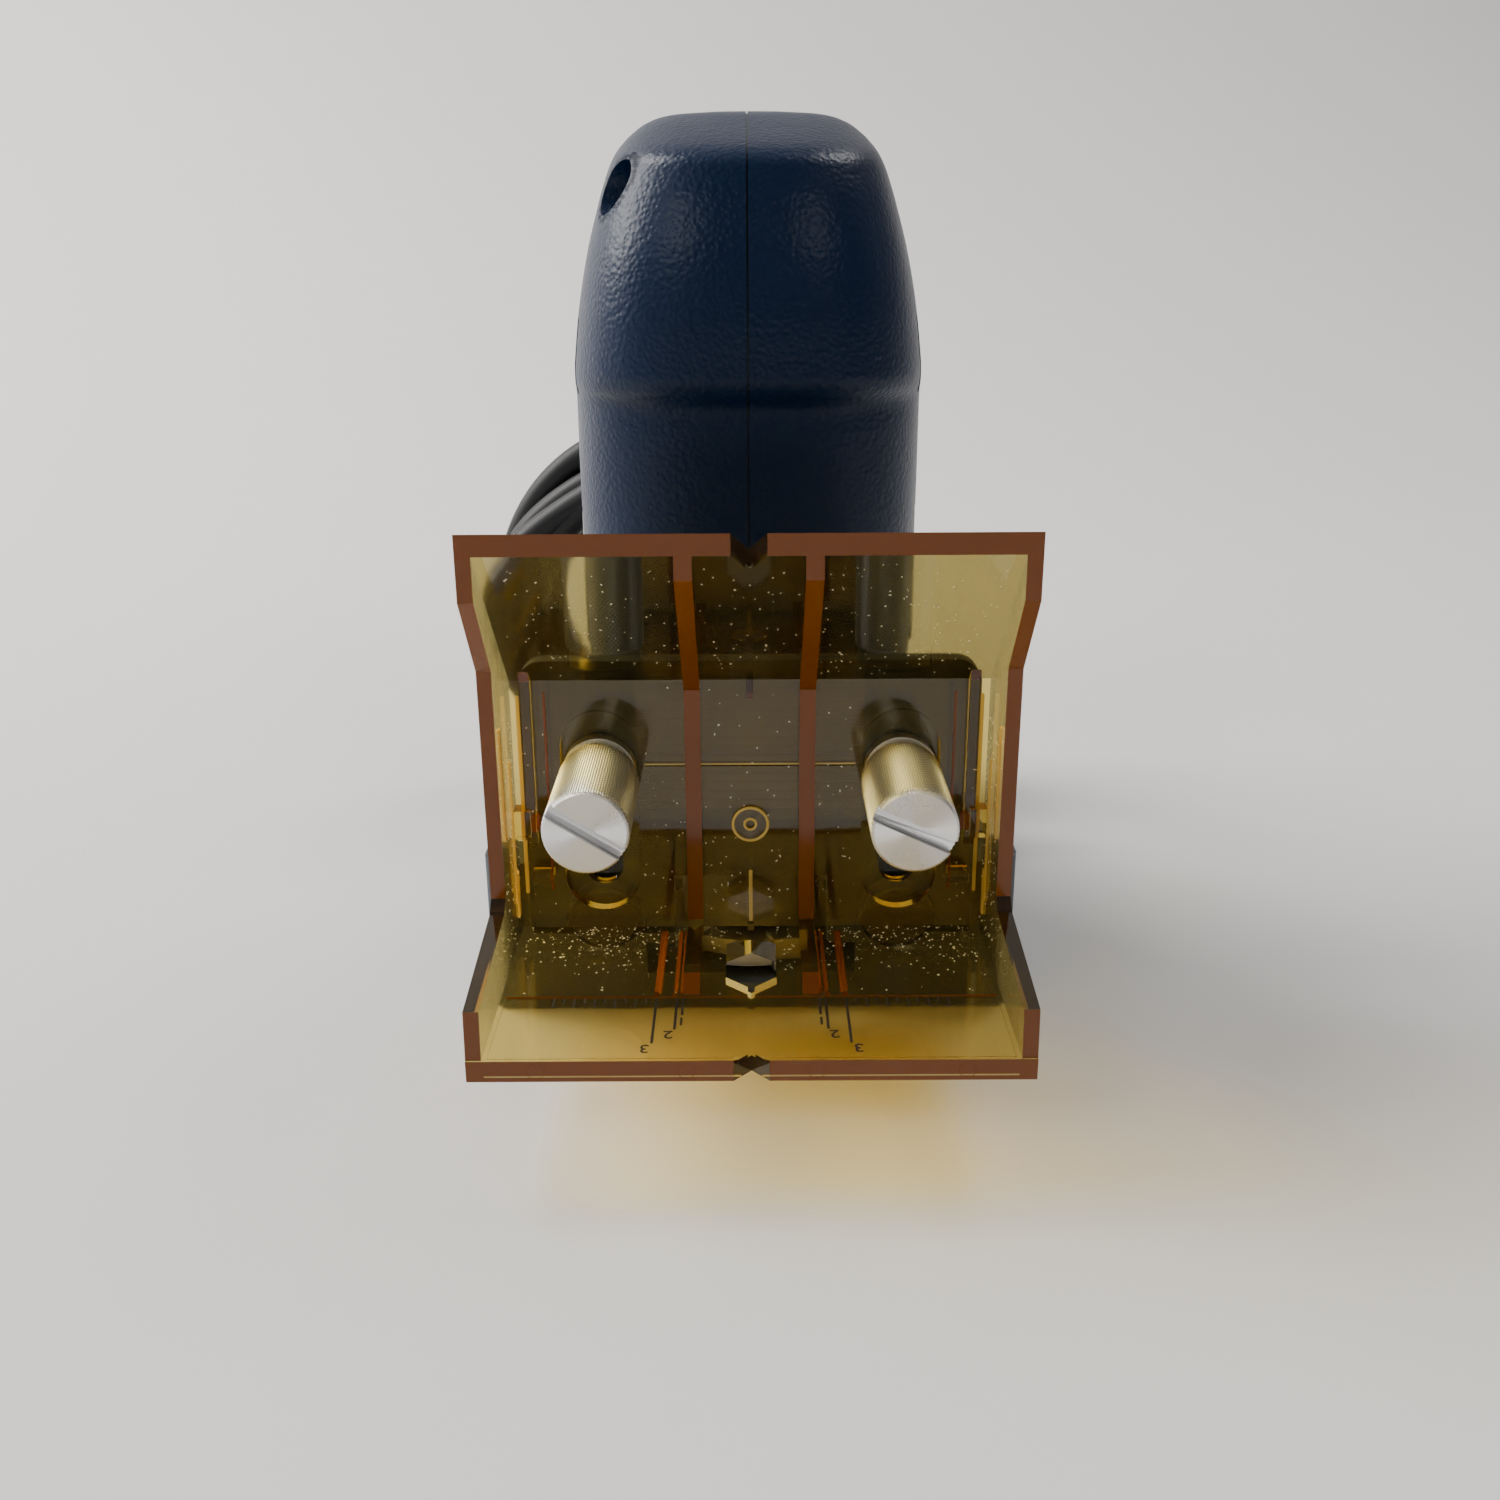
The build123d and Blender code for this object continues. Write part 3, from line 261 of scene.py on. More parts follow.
def surface(name, color, rough, metal=0.0, grain=(2000.0, 0.6), depth=0.00003, wearColor=None, wear=0.0,
            dust=0.0, spread=0.12, tint=0.25, coat=0.0, specular=0.5):
    # one finish: colour and roughness that vary, grain in the bump, worn edges and dust
    material = bpy.data.materials.new(name)
    material.use_nodes = True
    tree = material.node_tree
    shader = tree.nodes["Principled BSDF"]
    grainNode = useGroup(tree, grainGroup, Scale=grain[0], Cells=grain[1])
    dark = tuple(c * (1 - tint) for c in color)
    light = tuple(min(1, c * (1 + tint)) for c in color)
    shade = blendColor(tree, grainNode.outputs["Patch"], dark, light)
    if wearColor:
        worn = useGroup(tree, wearGroup, Radius=0.0006, Amount=wear)
        shade = blendColor(tree, worn.outputs["Mask"], shade, wearColor)
    if dust:
        settled = useGroup(tree, dustGroup, Amount=dust)
        shade = blendColor(tree, settled.outputs["Mask"], shade, dustColor)
    tree.links.new(shade, shader.inputs["Base Color"])
    least, most = max(0.02, rough - spread / 2), rough + spread / 2
    roughness = mapRange(tree, grainNode.outputs["Patch"], 0.3, 0.7, least, most)
    tree.links.new(roughness, shader.inputs["Roughness"])
    bump = place(tree, "ShaderNodeBump", iHeight=grainNode.outputs["Height"])
    bump.inputs["Strength"].default_value = 1.0
    bump.inputs["Distance"].default_value = depth
    tree.links.new(bump.outputs["Normal"], shader.inputs["Normal"])
    shader.inputs["Metallic"].default_value = metal
    shader.inputs["Coat Weight"].default_value = coat
    shader.inputs["Specular IOR Level"].default_value = specular
    return material


def amberPlastic(name, color, clear, rough):
    # clear amber: the colour deepens with the thickness of plastic that light crosses
    material = surface(name, color, rough, grain=(260.0, 0.2), depth=0.000006, spread=0.05, tint=0.04)
    tree = material.node_tree
    shader = tree.nodes["Principled BSDF"]
    shader.inputs["Transmission Weight"].default_value = clear
    shader.inputs["IOR"].default_value = 1.5
    depthTint = place(tree, "ShaderNodeVolumeAbsorption")
    depthTint.inputs["Color"].default_value = (0.86, 0.735, 0.09, 1)
    depthTint.inputs["Density"].default_value = 300.0
    output = tree.nodes["Material Output"]
    tree.links.new(depthTint.outputs[0], output.inputs["Volume"])
    through = place(tree, "ShaderNodeBsdfTransparent")
    through.inputs["Color"].default_value = (0.97, 0.95, 0.88, 1)
    ray = place(tree, "ShaderNodeLightPath")
    mix = place(tree, "ShaderNodeMixShader", i0=ray.outputs["Is Shadow Ray"], i1=shader.outputs[0],
                i2=through.outputs[0])
    tree.links.new(mix.outputs[0], output.inputs["Surface"])
    return material


def turnedFace():
    # lathe rings on the knob's end
    material = surface("turnedFace", (0.86, 0.86, 0.87), 0.3, metal=1.0, grain=(900.0, 0.0), depth=0.000004,
                       tint=0.08)
    tree = material.node_tree
    shader = tree.nodes["Principled BSDF"]
    coord = place(tree, "ShaderNodeUVMap")
    rings = place(tree, "ShaderNodeTexWave", wave_type="BANDS", bands_direction="X", iVector=coord.outputs[0],
                  iScale=9.0, iDistortion=0.6, iDetail=2.0)
    bump = place(tree, "ShaderNodeBump", iHeight=rings.outputs["Fac"])
    bump.inputs["Distance"].default_value = 0.00001
    tree.links.new(bump.outputs["Normal"], shader.inputs["Normal"])
    return material


finish = {
    "base_grey": surface("slatePowderCoat", (0.035, 0.045, 0.058), 0.5, grain=(1500.0, 0.5), depth=0.00004,
                         wearColor=(0.35, 0.36, 0.37), wear=0.5, dust=0.8),
    "pad_rubber": surface("ribbedPad", (0.075, 0.075, 0.07), 0.62, grain=(2600.0, 0.3), dust=0.7),
    "amber": amberPlastic("amberPlastic", (0.84, 0.765, 0.47), 0.99, 0.05),
    "knob_aluminium": surface("knurledAluminium", (0.80, 0.80, 0.80), 0.36, metal=1.0, grain=(1800.0, 0.1),
                              depth=0.00001, tint=0.1),
    "zinc_steel": surface("zincPlate", (0.66, 0.65, 0.60), 0.32, metal=1.0, grain=(1500.0, 0.3), depth=0.00001,
                          wearColor=(0.85, 0.85, 0.84), wear=0.6),
    "ground_steel": surface("groundSteel", (0.62, 0.63, 0.64), 0.2, metal=1.0, grain=(3000.0, 0.1),
                            depth=0.000006),
    "tool_steel": surface("toolSteel", (0.34, 0.34, 0.35), 0.34, metal=1.0, grain=(1600.0, 0.2), depth=0.00001,
                          wearColor=(0.75, 0.75, 0.76), wear=0.8),
    "bronze": surface("sinteredBronze", (0.55, 0.36, 0.16), 0.42, metal=1.0, grain=(2400.0, 0.6), depth=0.00002),
    "cast_aluminium": surface("castAluminium", (0.13, 0.135, 0.14), 0.5, metal=0.7, grain=(900.0, 0.4),
                              depth=0.00006, wearColor=(0.8, 0.8, 0.8), wear=0.5, dust=0.9),
    "navy": surface("navyPlastic", (0.0018, 0.0120, 0.042), 0.37, grain=(1300.0, 0.8), depth=0.00014, spread=0.08,
                    tint=0.12, specular=0.24),
    "black_plastic": surface("blackPlastic", (0.018, 0.018, 0.019), 0.42, grain=(1700.0, 0.6), depth=0.00004,
                             dust=0.4),
    "label_silver": surface("silverLabel", (0.66, 0.67, 0.69), 0.28, metal=0.7, grain=(1100.0, 0.1),
                            depth=0.000008, coat=0.3),
    "core_steel": surface("laminatedSteel", (0.16, 0.16, 0.17), 0.5, metal=1.0, grain=(1200.0, 0.2)),
    "copper": surface("enamelledCopper", (0.42, 0.15, 0.06), 0.3, metal=0.9, grain=(2200.0, 0.1), coat=0.6),
    "carbon": surface("carbonBrush", (0.03, 0.03, 0.03), 0.55, grain=(2500.0, 0.5)),
    "cord_rubber": surface("cordRubber", (0.008, 0.008, 0.009), 0.5, grain=(2200.0, 0.4), depth=0.00003, dust=0.12,
                           specular=0.35),
    "pin_brass": surface("pinBrass", (0.72, 0.55, 0.26), 0.24, metal=1.0, grain=(1500.0, 0.2), depth=0.000008,
                         wearColor=(0.9, 0.78, 0.5), wear=0.5),
}
knobFace = turnedFace()


def paintKnurlGrooveShade(material):
    # painted shade in the knurl's grooves, darker where the mesh's own groove values are deeper
    tree = material.node_tree
    target = tree.nodes["Principled BSDF"].inputs["Base Color"]
    groove = place(tree, "ShaderNodeAttribute", attribute_name="groove")
    # colour of the painted groove shade
    grooveShade = (0.10, 0.095, 0.085)
    tree.links.new(blendColor(tree, groove.outputs["Fac"], target.links[0].from_socket, grooveShade), target)


paintKnurlGrooveShade(finish["knob_aluminium"])
# a deep orange copy of the amber: painted colour standing in for light that has crossed a long path through it
amberEdge = amberPlastic("amberEdge", (0.32, 0.085, 0.006), 0.5, 0.12)
amberEdge.node_tree.nodes["Principled BSDF"].inputs["Specular IOR Level"].default_value = 0.2
# a darker copy of the amber for the top slope: painted shade
amberShadedSlope = amberPlastic("amberShadedSlope", (0.42, 0.375, 0.21), 0.985, 0.06)
# a lighter, less clear copy of the amber: painted highlight on thin raised lines and rings
amberGlow = amberPlastic("amberGlow", (0.80, 0.60, 0.16), 0.45, 0.15)
blackInk = surface("printInk", (0.012, 0.012, 0.012), 0.5, grain=(3000.0, 0.2), depth=0.000004)
dustChip = surface("dustChip", (0.86, 0.76, 0.54), 0.85, grain=(4000.0, 0.4), depth=0.00001, tint=0.3)

for entry in frame["record"]["subparts"]:
    node = nodes[entry["node"]]
    node.data.materials.clear()
    node.data.materials.append(finish[entry["material_slot"]])
for name in ("base_casting", "gear_housing"):
    softEdges(nodes[name], 0.35 * mm)
for name in ("post_caps", "clamp_washer_left", "clamp_washer_right", "plug_body", "depth_turret", "switch_button",
             "dust_outlet", "coil_tie", "stop_screw", "stop_nut", "cutter_flange"):
    softEdges(nodes[name], 0.2 * mm)
print("finishes done")

# the cord comes first, because its size is judged first
cordRoute = {
    "lead": [(0, 77.02, 73.59), (4.5, 80.2, 65.0), (13, 85.3, 58.0), (20.5, 89.3, 49)],
    "coil centre": (-14, 97.6, 46.3), "lean": 12.0, "diameter": 7.0, "start": -22, "end": -78,
    # half width, half height, depth in the coil, sag out to the left, dip of the left shoulder
    "turns": [(38.0, 36.0, -6.9, 0, 0), (43.0, 40.6, -7.0, 4.5, 0.17), (42.5, 41.0, 0.0, 3.0, 0.10),
              (35.5, 34.2, 0.2, 0, 0), (35.0, 34.0, 7.1, 0, 0), (42.0, 41.4, 7.0, 3.0, -0.07),
              (43.0, 41.6, 7.4, 0, 0)],
    "points per turn": 16, "jog": 0.5,
    "tail": [(-20, 114.6, 4.6), (-31, 119, 3.7), (-38.5, 127, 4.8), (-42, 137, 6.4)],
}


def easeStep(t):
    t = min(1.0, max(0.0, t))
    return t * t * (3 - 2 * t)


def coilPoints(plan):
    # turns run clockwise seen from the front; each moves over to the next one's place by the end of its round
    lean, start, end = (radians(plan[key]) for key in ("lean", "start", "end"))
    across = Vector((1, 0, 0))
    up = Vector((0, -sin(lean), cos(lean)))
    through = Vector((0, cos(lean), sin(lean)))
    centre = Vector(plan["coil centre"])
    turns = plan["turns"]
    sweep = 2 * pi * (len(turns) - 1) + start - end
    count = round(sweep / (2 * pi) * plan["points per turn"])
    points = []
    for step in range(count + 1):
        turn = sweep * step / count / (2 * pi)
        index = min(int(turn), len(turns) - 1)
        after = turns[min(index + 1, len(turns) - 1)]
        mix = easeStep((turn - index - 1 + plan["jog"]) / plan["jog"])
        wide, high, depth, sag, dip = (a + (b - a) * mix for a, b in zip(turns[index], after))
        angle = start - 2 * pi * turn
        left = max(0.0, -cos(angle))
        shoulder = max(0.0, -sin(2 * angle)) if sin(angle) > 0 else 0.0
        points.append(centre + across * (wide + sag * left) * cos(angle)
                      + up * high * (1 - dip * shoulder) * sin(angle) + through * depth)
    return points


def makeCord(plan):
    curve = bpy.data.curves.new("powerCord", "CURVE")
    curve.dimensions = "3D"
    curve.bevel_depth = plan["diameter"] / 2 * mm
    curve.bevel_resolution = 6
    curve.resolution_u = 10
    curve.use_fill_caps = True
    route = [Vector(p) for p in plan["lead"]] + coilPoints(plan) + [Vector(p) for p in plan["tail"]]
    spline = curve.splines.new("NURBS")
    spline.points.add(len(route) - 1)
    for point, where in zip(spline.points, route):
        point.co = (*(where * mm), 1)
    spline.order_u = 3
    spline.use_endpoint_u = True
    piece = linkObject("powerCord", curve, "motor_unit", finish["cord_rubber"])
    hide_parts("cord_lead", "cord_coil", "cord_tail")
    return piece


powerCord = makeCord(cordRoute)


# the strap that ties the coil
strap = {"width": 6.0, "thick": 1.1, "half up": 8.6, "half deep": 11.2, "corner": 4.6, "corner steps": 8}


def makeStrap():
    low, high = (Vector(c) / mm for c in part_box("coil_tie"))
    centre = (low + high) / 2
    lean = radians(cordRoute["lean"])
    up, deep = Vector((0, -sin(lean), cos(lean))), Vector((0, cos(lean), sin(lean)))
    path = []
    for cornerUp, cornerDeep, begin in ((1, 1, 0), (1, -1, 90), (-1, -1, 180), (-1, 1, 270)):
        for k in range(strap["corner steps"] + 1):
            turn = radians(begin + 90 * k / strap["corner steps"])
            path.append(((strap["half up"] - strap["corner"]) * cornerUp + strap["corner"] * cos(turn),
                         (strap["half deep"] - strap["corner"]) * cornerDeep - strap["corner"] * sin(turn)))
    points, faces = [], []
    count = len(path)
    for index, (a, b) in enumerate(path):
        before, after = path[index - 1], path[(index + 1) % count]
        along = Vector((after[0] - before[0], after[1] - before[1])).normalized()
        outward = Vector((along.y, -along.x))
        if outward.dot(Vector((a, b))) < 0:
            outward = -outward
        for x, push in ((-1, 0), (-0.92, 1), (0.92, 1), (1, 0)):
            spot = Vector((a, b)) + outward * strap["thick"] * push
            points.append((centre + Vector((x * strap["width"] / 2, 0, 0)) + up * spot.x + deep * spot.y) * mm)
    for index in range(count):
        for k in range(4):
            a, n = 4 * index, 4 * ((index + 1) % count)
            faces.append((a + k, a + (k + 1) % 4, n + (k + 1) % 4, n + k))
    mesh = meshFrom("coilStrap", points, faces)
    faceOutward(mesh)
    mesh.set_sharp_from_angle(angle=radians(40))
    piece = linkObject("coilStrap", mesh, "motor_unit", finish["black_plastic"])
    softEdges(piece, 0.25 * mm)
    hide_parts("coil_tie")
    return piece


coilStrap = makeStrap()
print("cord done")

# two moulded half shells round the motor
housing = {
    # height, half width, front, rear
    "form": [(41.1, 28.3, -6.5, 56.0), (60, 30.2, -7.2, 57.2), (72, 30.6, -7.6, 58.0), (90, 30.8, -8.4, 58.8),
             (101, 30.8, -8.8, 59.0), (103.8, 30.8, -8.8, 59.0), (105.6, 30.8, -9.3, 59.0),
             (107.4, 30.8, -11.5, 59.0), (109.0, 30.75, -12.35, 59.0), (111, 30.65, -12.4, 58.9),
             (120, 29.5, -12.2, 58.5), (129, 27.7, -11.1, 57.0), (137, 25.5, -8.6, 55.0), (141, 24.2, -6.6, 53.3),
             (143, 23.4, -5.2, 52.0), (144.6, 22.6, -2.6, 50.6), (146, 21.7, 1.2, 49.0), (148, 20.0, 8.0, 46.0),
             (150, 17.4, 15.5, 42.0), (151.3, 13.5, 21.5, 38.0), (151.9, 7.0, 27.0, 34.0)],
    "squareness front": 2.75, "squareness rear": 3.3, "rows": 170, "columns": 84, "crowd": 1.55,
    "seam": 0.14, "wall": 2.3, "cut from": 24, "cut to": 36,
    "vents": {"count": 6, "pitch": 5, "middle": 22, "radius": 1.1, "low": 106.6, "high": 117.4},
    "switch window": ((-5.3, 50, 118), (5.3, 66, 136)), "cord hole": 5.6, "cord hole z": 94,
    "screws": [(3.6, 139.0), (44.0, 139.0), (49.5, 92.0), (49.5, 64.0)], "screw well": 4.3,
    "label": (13.0, 41.0, 61.0, 85.0),  # front, rear, bottom, top
    "label corner": 1.6, "label seat": 29.6, "label gap": 0.2, "label faces": (29.65, 30.1),
}


def formAt(table, z):
    # a smooth curve through the table's heights
    last = len(table) - 2
    i = max(k for k in range(last + 1) if table[k][0] <= z or k == 0)
    a, b = table[i], table[i + 1]
    before, after = table[max(i - 1, 0)], table[min(i + 2, last + 1)]
    span = b[0] - a[0]
    t = (z - a[0]) / span
    values = []
    for k in range(1, len(a)):
        slopeA = (b[k] - before[k]) / (b[0] - before[0])
        slopeB = (after[k] - a[k]) / (after[0] - a[0])
        h1, h2 = 2 * t**3 - 3 * t**2 + 1, t**3 - 2 * t**2 + t
        h3, h4 = -2 * t**3 + 3 * t**2, t**3 - t**2
        values.append(h1 * a[k] + h2 * span * slopeA + h3 * b[k] + h4 * span * slopeB)
    return values


def power(value, exponent):
    return abs(value) ** exponent * (1 if value >= 0 else -1)


def shellMesh(side, plan, closed=False):
    # side is -1 for the left half; columns run from the front seam round to the rear one
    table = plan["form"]
    lowest, highest = table[0][0], table[-1][0]
    points, faces = [], []
    rows, columns = plan["rows"], plan["columns"]
    for row in range(rows + 1):
        share = row / rows
        z = lowest + (highest - lowest) * (1 - (1 - share) ** plan["crowd"])
        half, front, rear = formAt(table, z)
        middle, depth = (front + rear) / 2, (rear - front) / 2
        for column in range(columns + 1):
            angle = pi * column / columns
            exponent = 2 / plan["squareness front" if column * 2 < columns else "squareness rear"]
            x = side * (plan["seam"] + (half - plan["seam"]) * power(sin(angle), exponent))
            y = middle - depth * power(cos(angle), exponent)
            points.append((x * mm, y * mm, z * mm))
    for row in range(rows):
        for column in range(columns):
            a = row * (columns + 1) + column
            quad = (a, a + 1, a + columns + 2, a + columns + 1)
            faces.append(quad if side < 0 else quad[::-1])
    top = rows * (columns + 1)
    cap = tuple(top + c for c in range(columns + 1))
    faces.append(cap if side < 0 else cap[::-1])
    if closed:  # the seam plane and the underside close it into a solid
        for row in range(rows):
            a, b = row * (columns + 1), (row + 1) * (columns + 1)
            faces.append((a, b, b + columns, a + columns))
        faces.append(tuple(range(columns + 1)))
    return meshFrom("housingShell", points, faces)


def makeHousing(side, name):
    plan = housing
    piece = linkObject("housingShell_" + name, shellMesh(side, plan))
    shape = bmesh.new()
    shape.from_mesh(piece.data)
    bmesh.ops.recalc_face_normals(shape, faces=shape.faces)
    if sum((f.normal.x * side) * f.calc_area() for f in shape.faces) < 0:
        bmesh.ops.reverse_faces(shape, faces=shape.faces)
    shape.to_mesh(piece.data)
    shape.free()
    thick = piece.modifiers.new("wall", "SOLIDIFY")
    thick.thickness = plan["wall"] * mm
    thick.offset = -1
    thick.use_even_offset = False
    bakeModifiers(piece)
    cutters = []
    vents = plan["vents"]
    inner, outer, radius = side * plan["cut from"], side * plan["cut to"], vents["radius"] * mm
    for slot in range(vents["count"]):
        y = (vents["middle"] + vents["pitch"] * (slot - (vents["count"] - 1) / 2)) * mm
        for z in (vents["low"] * mm, vents["high"] * mm):
            cutters.append(tempCylinder(radius, (inner * mm, y, z), (outer * mm, y, z), 24))
        cutters.append(tempBox((min(inner, outer) * mm, y - radius, vents["low"] * mm),
                               (max(inner, outer) * mm, y + radius, vents["high"] * mm)))
    if side < 0:
        for y, z in plan["screws"]:
            cutters.append(tempCylinder(plan["screw well"] * mm, (-40 * mm, y * mm, z * mm),
                                        (-15 * mm, y * mm, z * mm)))
    low, high = plan["switch window"]
    cutters.append(tempBox([c * mm for c in low], [c * mm for c in high]))
    holeZ = plan["cord hole z"] * mm
    cutters.append(tempCylinder(plan["cord hole"] * mm, (0, low[1] * mm, holeZ), (0, high[1] * mm, holeZ)))
    (y0, y1, z0, z1), gap, seat = plan["label"], plan["label gap"], side * plan["label seat"]
    cutters.append(tempBox((min(seat, outer) * mm, (y0 - gap) * mm, (z0 - gap) * mm),
                           (max(seat, outer) * mm, (y1 + gap) * mm, (z1 + gap) * mm)))
    cutAway(piece, cutters)
    piece.data.materials.clear()
    piece.data.materials.append(finish["navy"])
    piece.data.set_sharp_from_angle(angle=radians(32))
    softEdges(piece, 0.3 * mm, segments=2, angle=50)
    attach(piece, "motor_unit")
    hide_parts("housing_" + name)
    return piece


def makeLabel(side, name):
    # a blank plate with rounded corners, in its seat
    y0, y1, z0, z1 = housing["label"]
    corner = housing["label corner"]
    shape = bmesh.new()
    outline = []
    for y, z, begin in ((y1 - corner, z1 - corner, 0), (y0 + corner, z1 - corner, 90),
                        (y0 + corner, z0 + corner, 180), (y1 - corner, z0 + corner, 270)):
        for angle in (radians(begin + 15 * k) for k in range(7)):
            outline.append((y + corner * cos(angle), z + corner * sin(angle)))
    rings = [[shape.verts.new((side * x * mm, y * mm, z * mm)) for y, z in outline]
             for x in housing["label faces"]]
    for k in range(len(outline)):
        n = (k + 1) % len(outline)
        shape.faces.new((rings[0][k], rings[0][n], rings[1][n], rings[1][k]))
    shape.faces.new(rings[0])
    shape.faces.new(rings[1])
    piece = linkObject("labelPlate_" + name, meshOf(shape, "labelPlate"), "motor_unit",
                       finish["label_silver"])
    softEdges(piece, 0.12 * mm)
    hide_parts("label_" + name)


for side, name in ((-1, "left"), (1, "right")):
    makeHousing(side, name)
    makeLabel(side, name)


wellTube = {"wall": 1.2, "mouth": -32.0, "end": -15.2, "floor": -15.8, "screw hole": 1.9, "sides": 40}


def screwWell(y, z, form):
    # a tube from the shell in to the screw's head
    shape = bmesh.new()
    inner, outer = housing["screw well"], housing["screw well"] + wellTube["wall"]
    mouth, end, floor, hole, sides = (wellTube[key] for key in ("mouth", "end", "floor", "screw hole", "sides"))
    rings = []
    for x, radius in ((mouth, outer), (end, outer), (end, hole), (floor, hole), (floor, inner), (mouth, inner)):
        rings.append([shape.verts.new((x * mm, (y + radius * cos(2 * pi * k / sides)) * mm,
                                       (z + radius * sin(2 * pi * k / sides)) * mm)) for k in range(sides)])
    for first, second in zip(rings, rings[1:] + rings[:1]):
        for k in range(sides):
            shape.faces.new((first[k], first[(k + 1) % sides], second[(k + 1) % sides], second[k]))
    piece = linkObject("screwWell", meshOf(shape, "screwWell"))
    trim = piece.modifiers.new("trim", "BOOLEAN")
    trim.operation = "INTERSECT"
    trim.solver = "EXACT"
    trim.object = form
    bakeModifiers(piece)
    piece.data.set_sharp_from_angle(angle=radians(35))
    return piece


formSolid = linkObject("formSolid", shellMesh(-1, housing, closed=True))
faceOutward(formSolid.data)
for index, (y, z) in enumerate(housing["screws"]):
    well = screwWell(y, z, formSolid)
    well.name = f"screwWell_{index + 1}"
    well.data.materials.clear()
    well.data.materials.append(finish["navy"])
    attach(well, "motor_unit")
bpy.data.objects.remove(formSolid)


lip = {"inset": 0.7, "half width": 1.2, "thick": 0.8, "steps": 90, "crowd": 1.6, "middle": (24.0, 96.0)}


def seamLip():
    # the tongue that closes the joint line from inside
    points, faces = [], []
    line = []
    form, count, half, thick = housing["form"], lip["steps"], lip["half width"], lip["thick"]
    lowest, highest = form[0][0], form[-1][0] - lip["inset"]
    for step in range(count + 1):
        z = lowest + (highest - lowest) * (1 - (1 - step / count) ** lip["crowd"])
        line.append((formAt(form, z)[1] + lip["inset"], z))
    for step in range(count + 1):
        z = highest - (highest - lowest) * (step / count) ** lip["crowd"]
        line.append((formAt(form, z)[2] - lip["inset"], z))
    for y, z in line:
        for x, inward in ((-half, 0), (half, 0), (half, thick), (-half, thick)):
            middle = Vector(lip["middle"]) - Vector((y, z))
            spot = Vector((y, z)) + middle.normalized() * inward
            points.append((x * mm, spot.x * mm, spot.y * mm))
    for step in range(len(line) - 1):
        for k in range(4):
            a, n = 4 * step + k, 4 * step + (k + 1) % 4
            faces.append((a, n, n + 4, a + 4))
    last = 4 * (len(line) - 1)
    faces += [(3, 2, 1, 0), (last, last + 1, last + 2, last + 3)]
    linkObject("seamLip", meshFrom("seamLip", points, faces, smooth=False), "motor_unit",
               finish["black_plastic"])


seamLip()
print("housing done")

# knurled clamp knobs with slotted ends
knob = {"pitch": 0.8, "height": 0.24, "edge": 0.5, "face ring": 0.9, "flat": 1.6, "samples": 6,
        "slot width": 2.2, "slot depth": 1.5, "slot turn": {"left": 33, "right": 25}}


def makeKnob(name):
    low, high = (Vector(c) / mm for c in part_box("clamp_knob_" + name))
    centre = (low + high) / 2
    radius = (high.x - low.x) / 2
    front, back = low.y, high.y
    diamonds = round(2 * pi * radius / knob["pitch"])
    points, faces = [], []
    length = back - front - 2 * knob["edge"]
    around = diamonds * knob["samples"]
    along = round(length / knob["pitch"] * knob["samples"])
    rows = [(front, 0.0), (front, radius - knob["edge"] - knob["face ring"])]
    rows += [(front + knob["edge"] * k / 3, radius - knob["edge"] * (1 - k / 3)) for k in range(3)]
    rows += [(front + knob["edge"] + length * k / along, None) for k in range(along + 1)]
    rows += [(back, radius - knob["edge"]), (back, 0.0)]
    for y, reach in rows:
        if reach == 0.0:
            points.append((centre.x * mm, y * mm, centre.z * mm))
            continue
        for k in range(around):
            turn = k / around
            r = reach
            if r is None:
                reached = (y - front) / knob["pitch"]
                a = (turn * diamonds + reached) % 1.0
                b = (turn * diamonds - reached) % 1.0
                peak = 1 - 2 * max(abs(a - 0.5), abs(b - 0.5))
                r = radius - knob["height"] + knob["height"] * min(1.0, peak * knob["flat"])
            angle = 2 * pi * turn
            points.append(((centre.x + r * cos(angle)) * mm, y * mm, (centre.z + r * sin(angle)) * mm))
    ringStart = [1 + around * i for i in range(len(rows) - 2)]
    for k in range(around):
        n = (k + 1) % around
        faces.append((0, ringStart[0] + k, ringStart[0] + n))
        for first, second in zip(ringStart, ringStart[1:]):
            faces.append((first + k, second + k, second + n, first + n))
        faces.append((ringStart[-1] + k, len(points) - 1, ringStart[-1] + n))
    mesh = meshFrom("clampKnob", points, faces)
    piece = linkObject("clampKnob_" + name, mesh)
    faceOutward(mesh)
    spin = Matrix.Rotation(radians(knob["slot turn"][name]), 4, "Y")
    middle = Vector((centre.x, front + knob["slot depth"] / 2, centre.z)) * mm
    half = Vector((radius * 1.3, knob["slot depth"] / 2, knob["slot width"] / 2)) * mm
    bar = tempBox(middle - half - Vector((0, 1 * mm, 0)), middle + half, spin)
    cutAway(piece, [bar])
    piece.data.materials.clear()
    piece.data.materials.append(finish["knob_aluminium"])
    piece.data.materials.append(knobFace)
    rings = piece.data.uv_layers.new(name="rings")
    for polygon in piece.data.polygons:
        if polygon.center.y < (front + knob["slot depth"] + 0.05) * mm and abs(polygon.normal.y) > 0.5:
            polygon.material_index = 1
        for loop in polygon.loop_indices:
            spot = piece.data.vertices[piece.data.loops[loop].vertex_index].co
            away = Vector((spot.x - centre.x * mm, spot.z - centre.z * mm))
            rings.data[loop].uv = (away.length / mm, 0)
    # how deep each point sits in the knurl; this sets the painted groove shade
    groove = piece.data.attributes.new("groove", "FLOAT", "POINT")
    for vertex in piece.data.vertices:
        away = Vector((vertex.co.x / mm - centre.x, vertex.co.z / mm - centre.z)).length
        knurled = front + knob["edge"] < vertex.co.y / mm < back - knob["edge"]
        low = radius - knob["height"]
        sunk = max(0.0, min(1.0, 1 - (away - low) / knob["height"]))
        groove.data[vertex.index].value = sunk if knurled else 0.0
    piece.data.set_sharp_from_angle(angle=radians(38))
    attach(piece, "clamp_knob_" + name)
    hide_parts("clamp_knob_" + name)


for name in ("left", "right"):
    makeKnob(name)
print("knobs done")

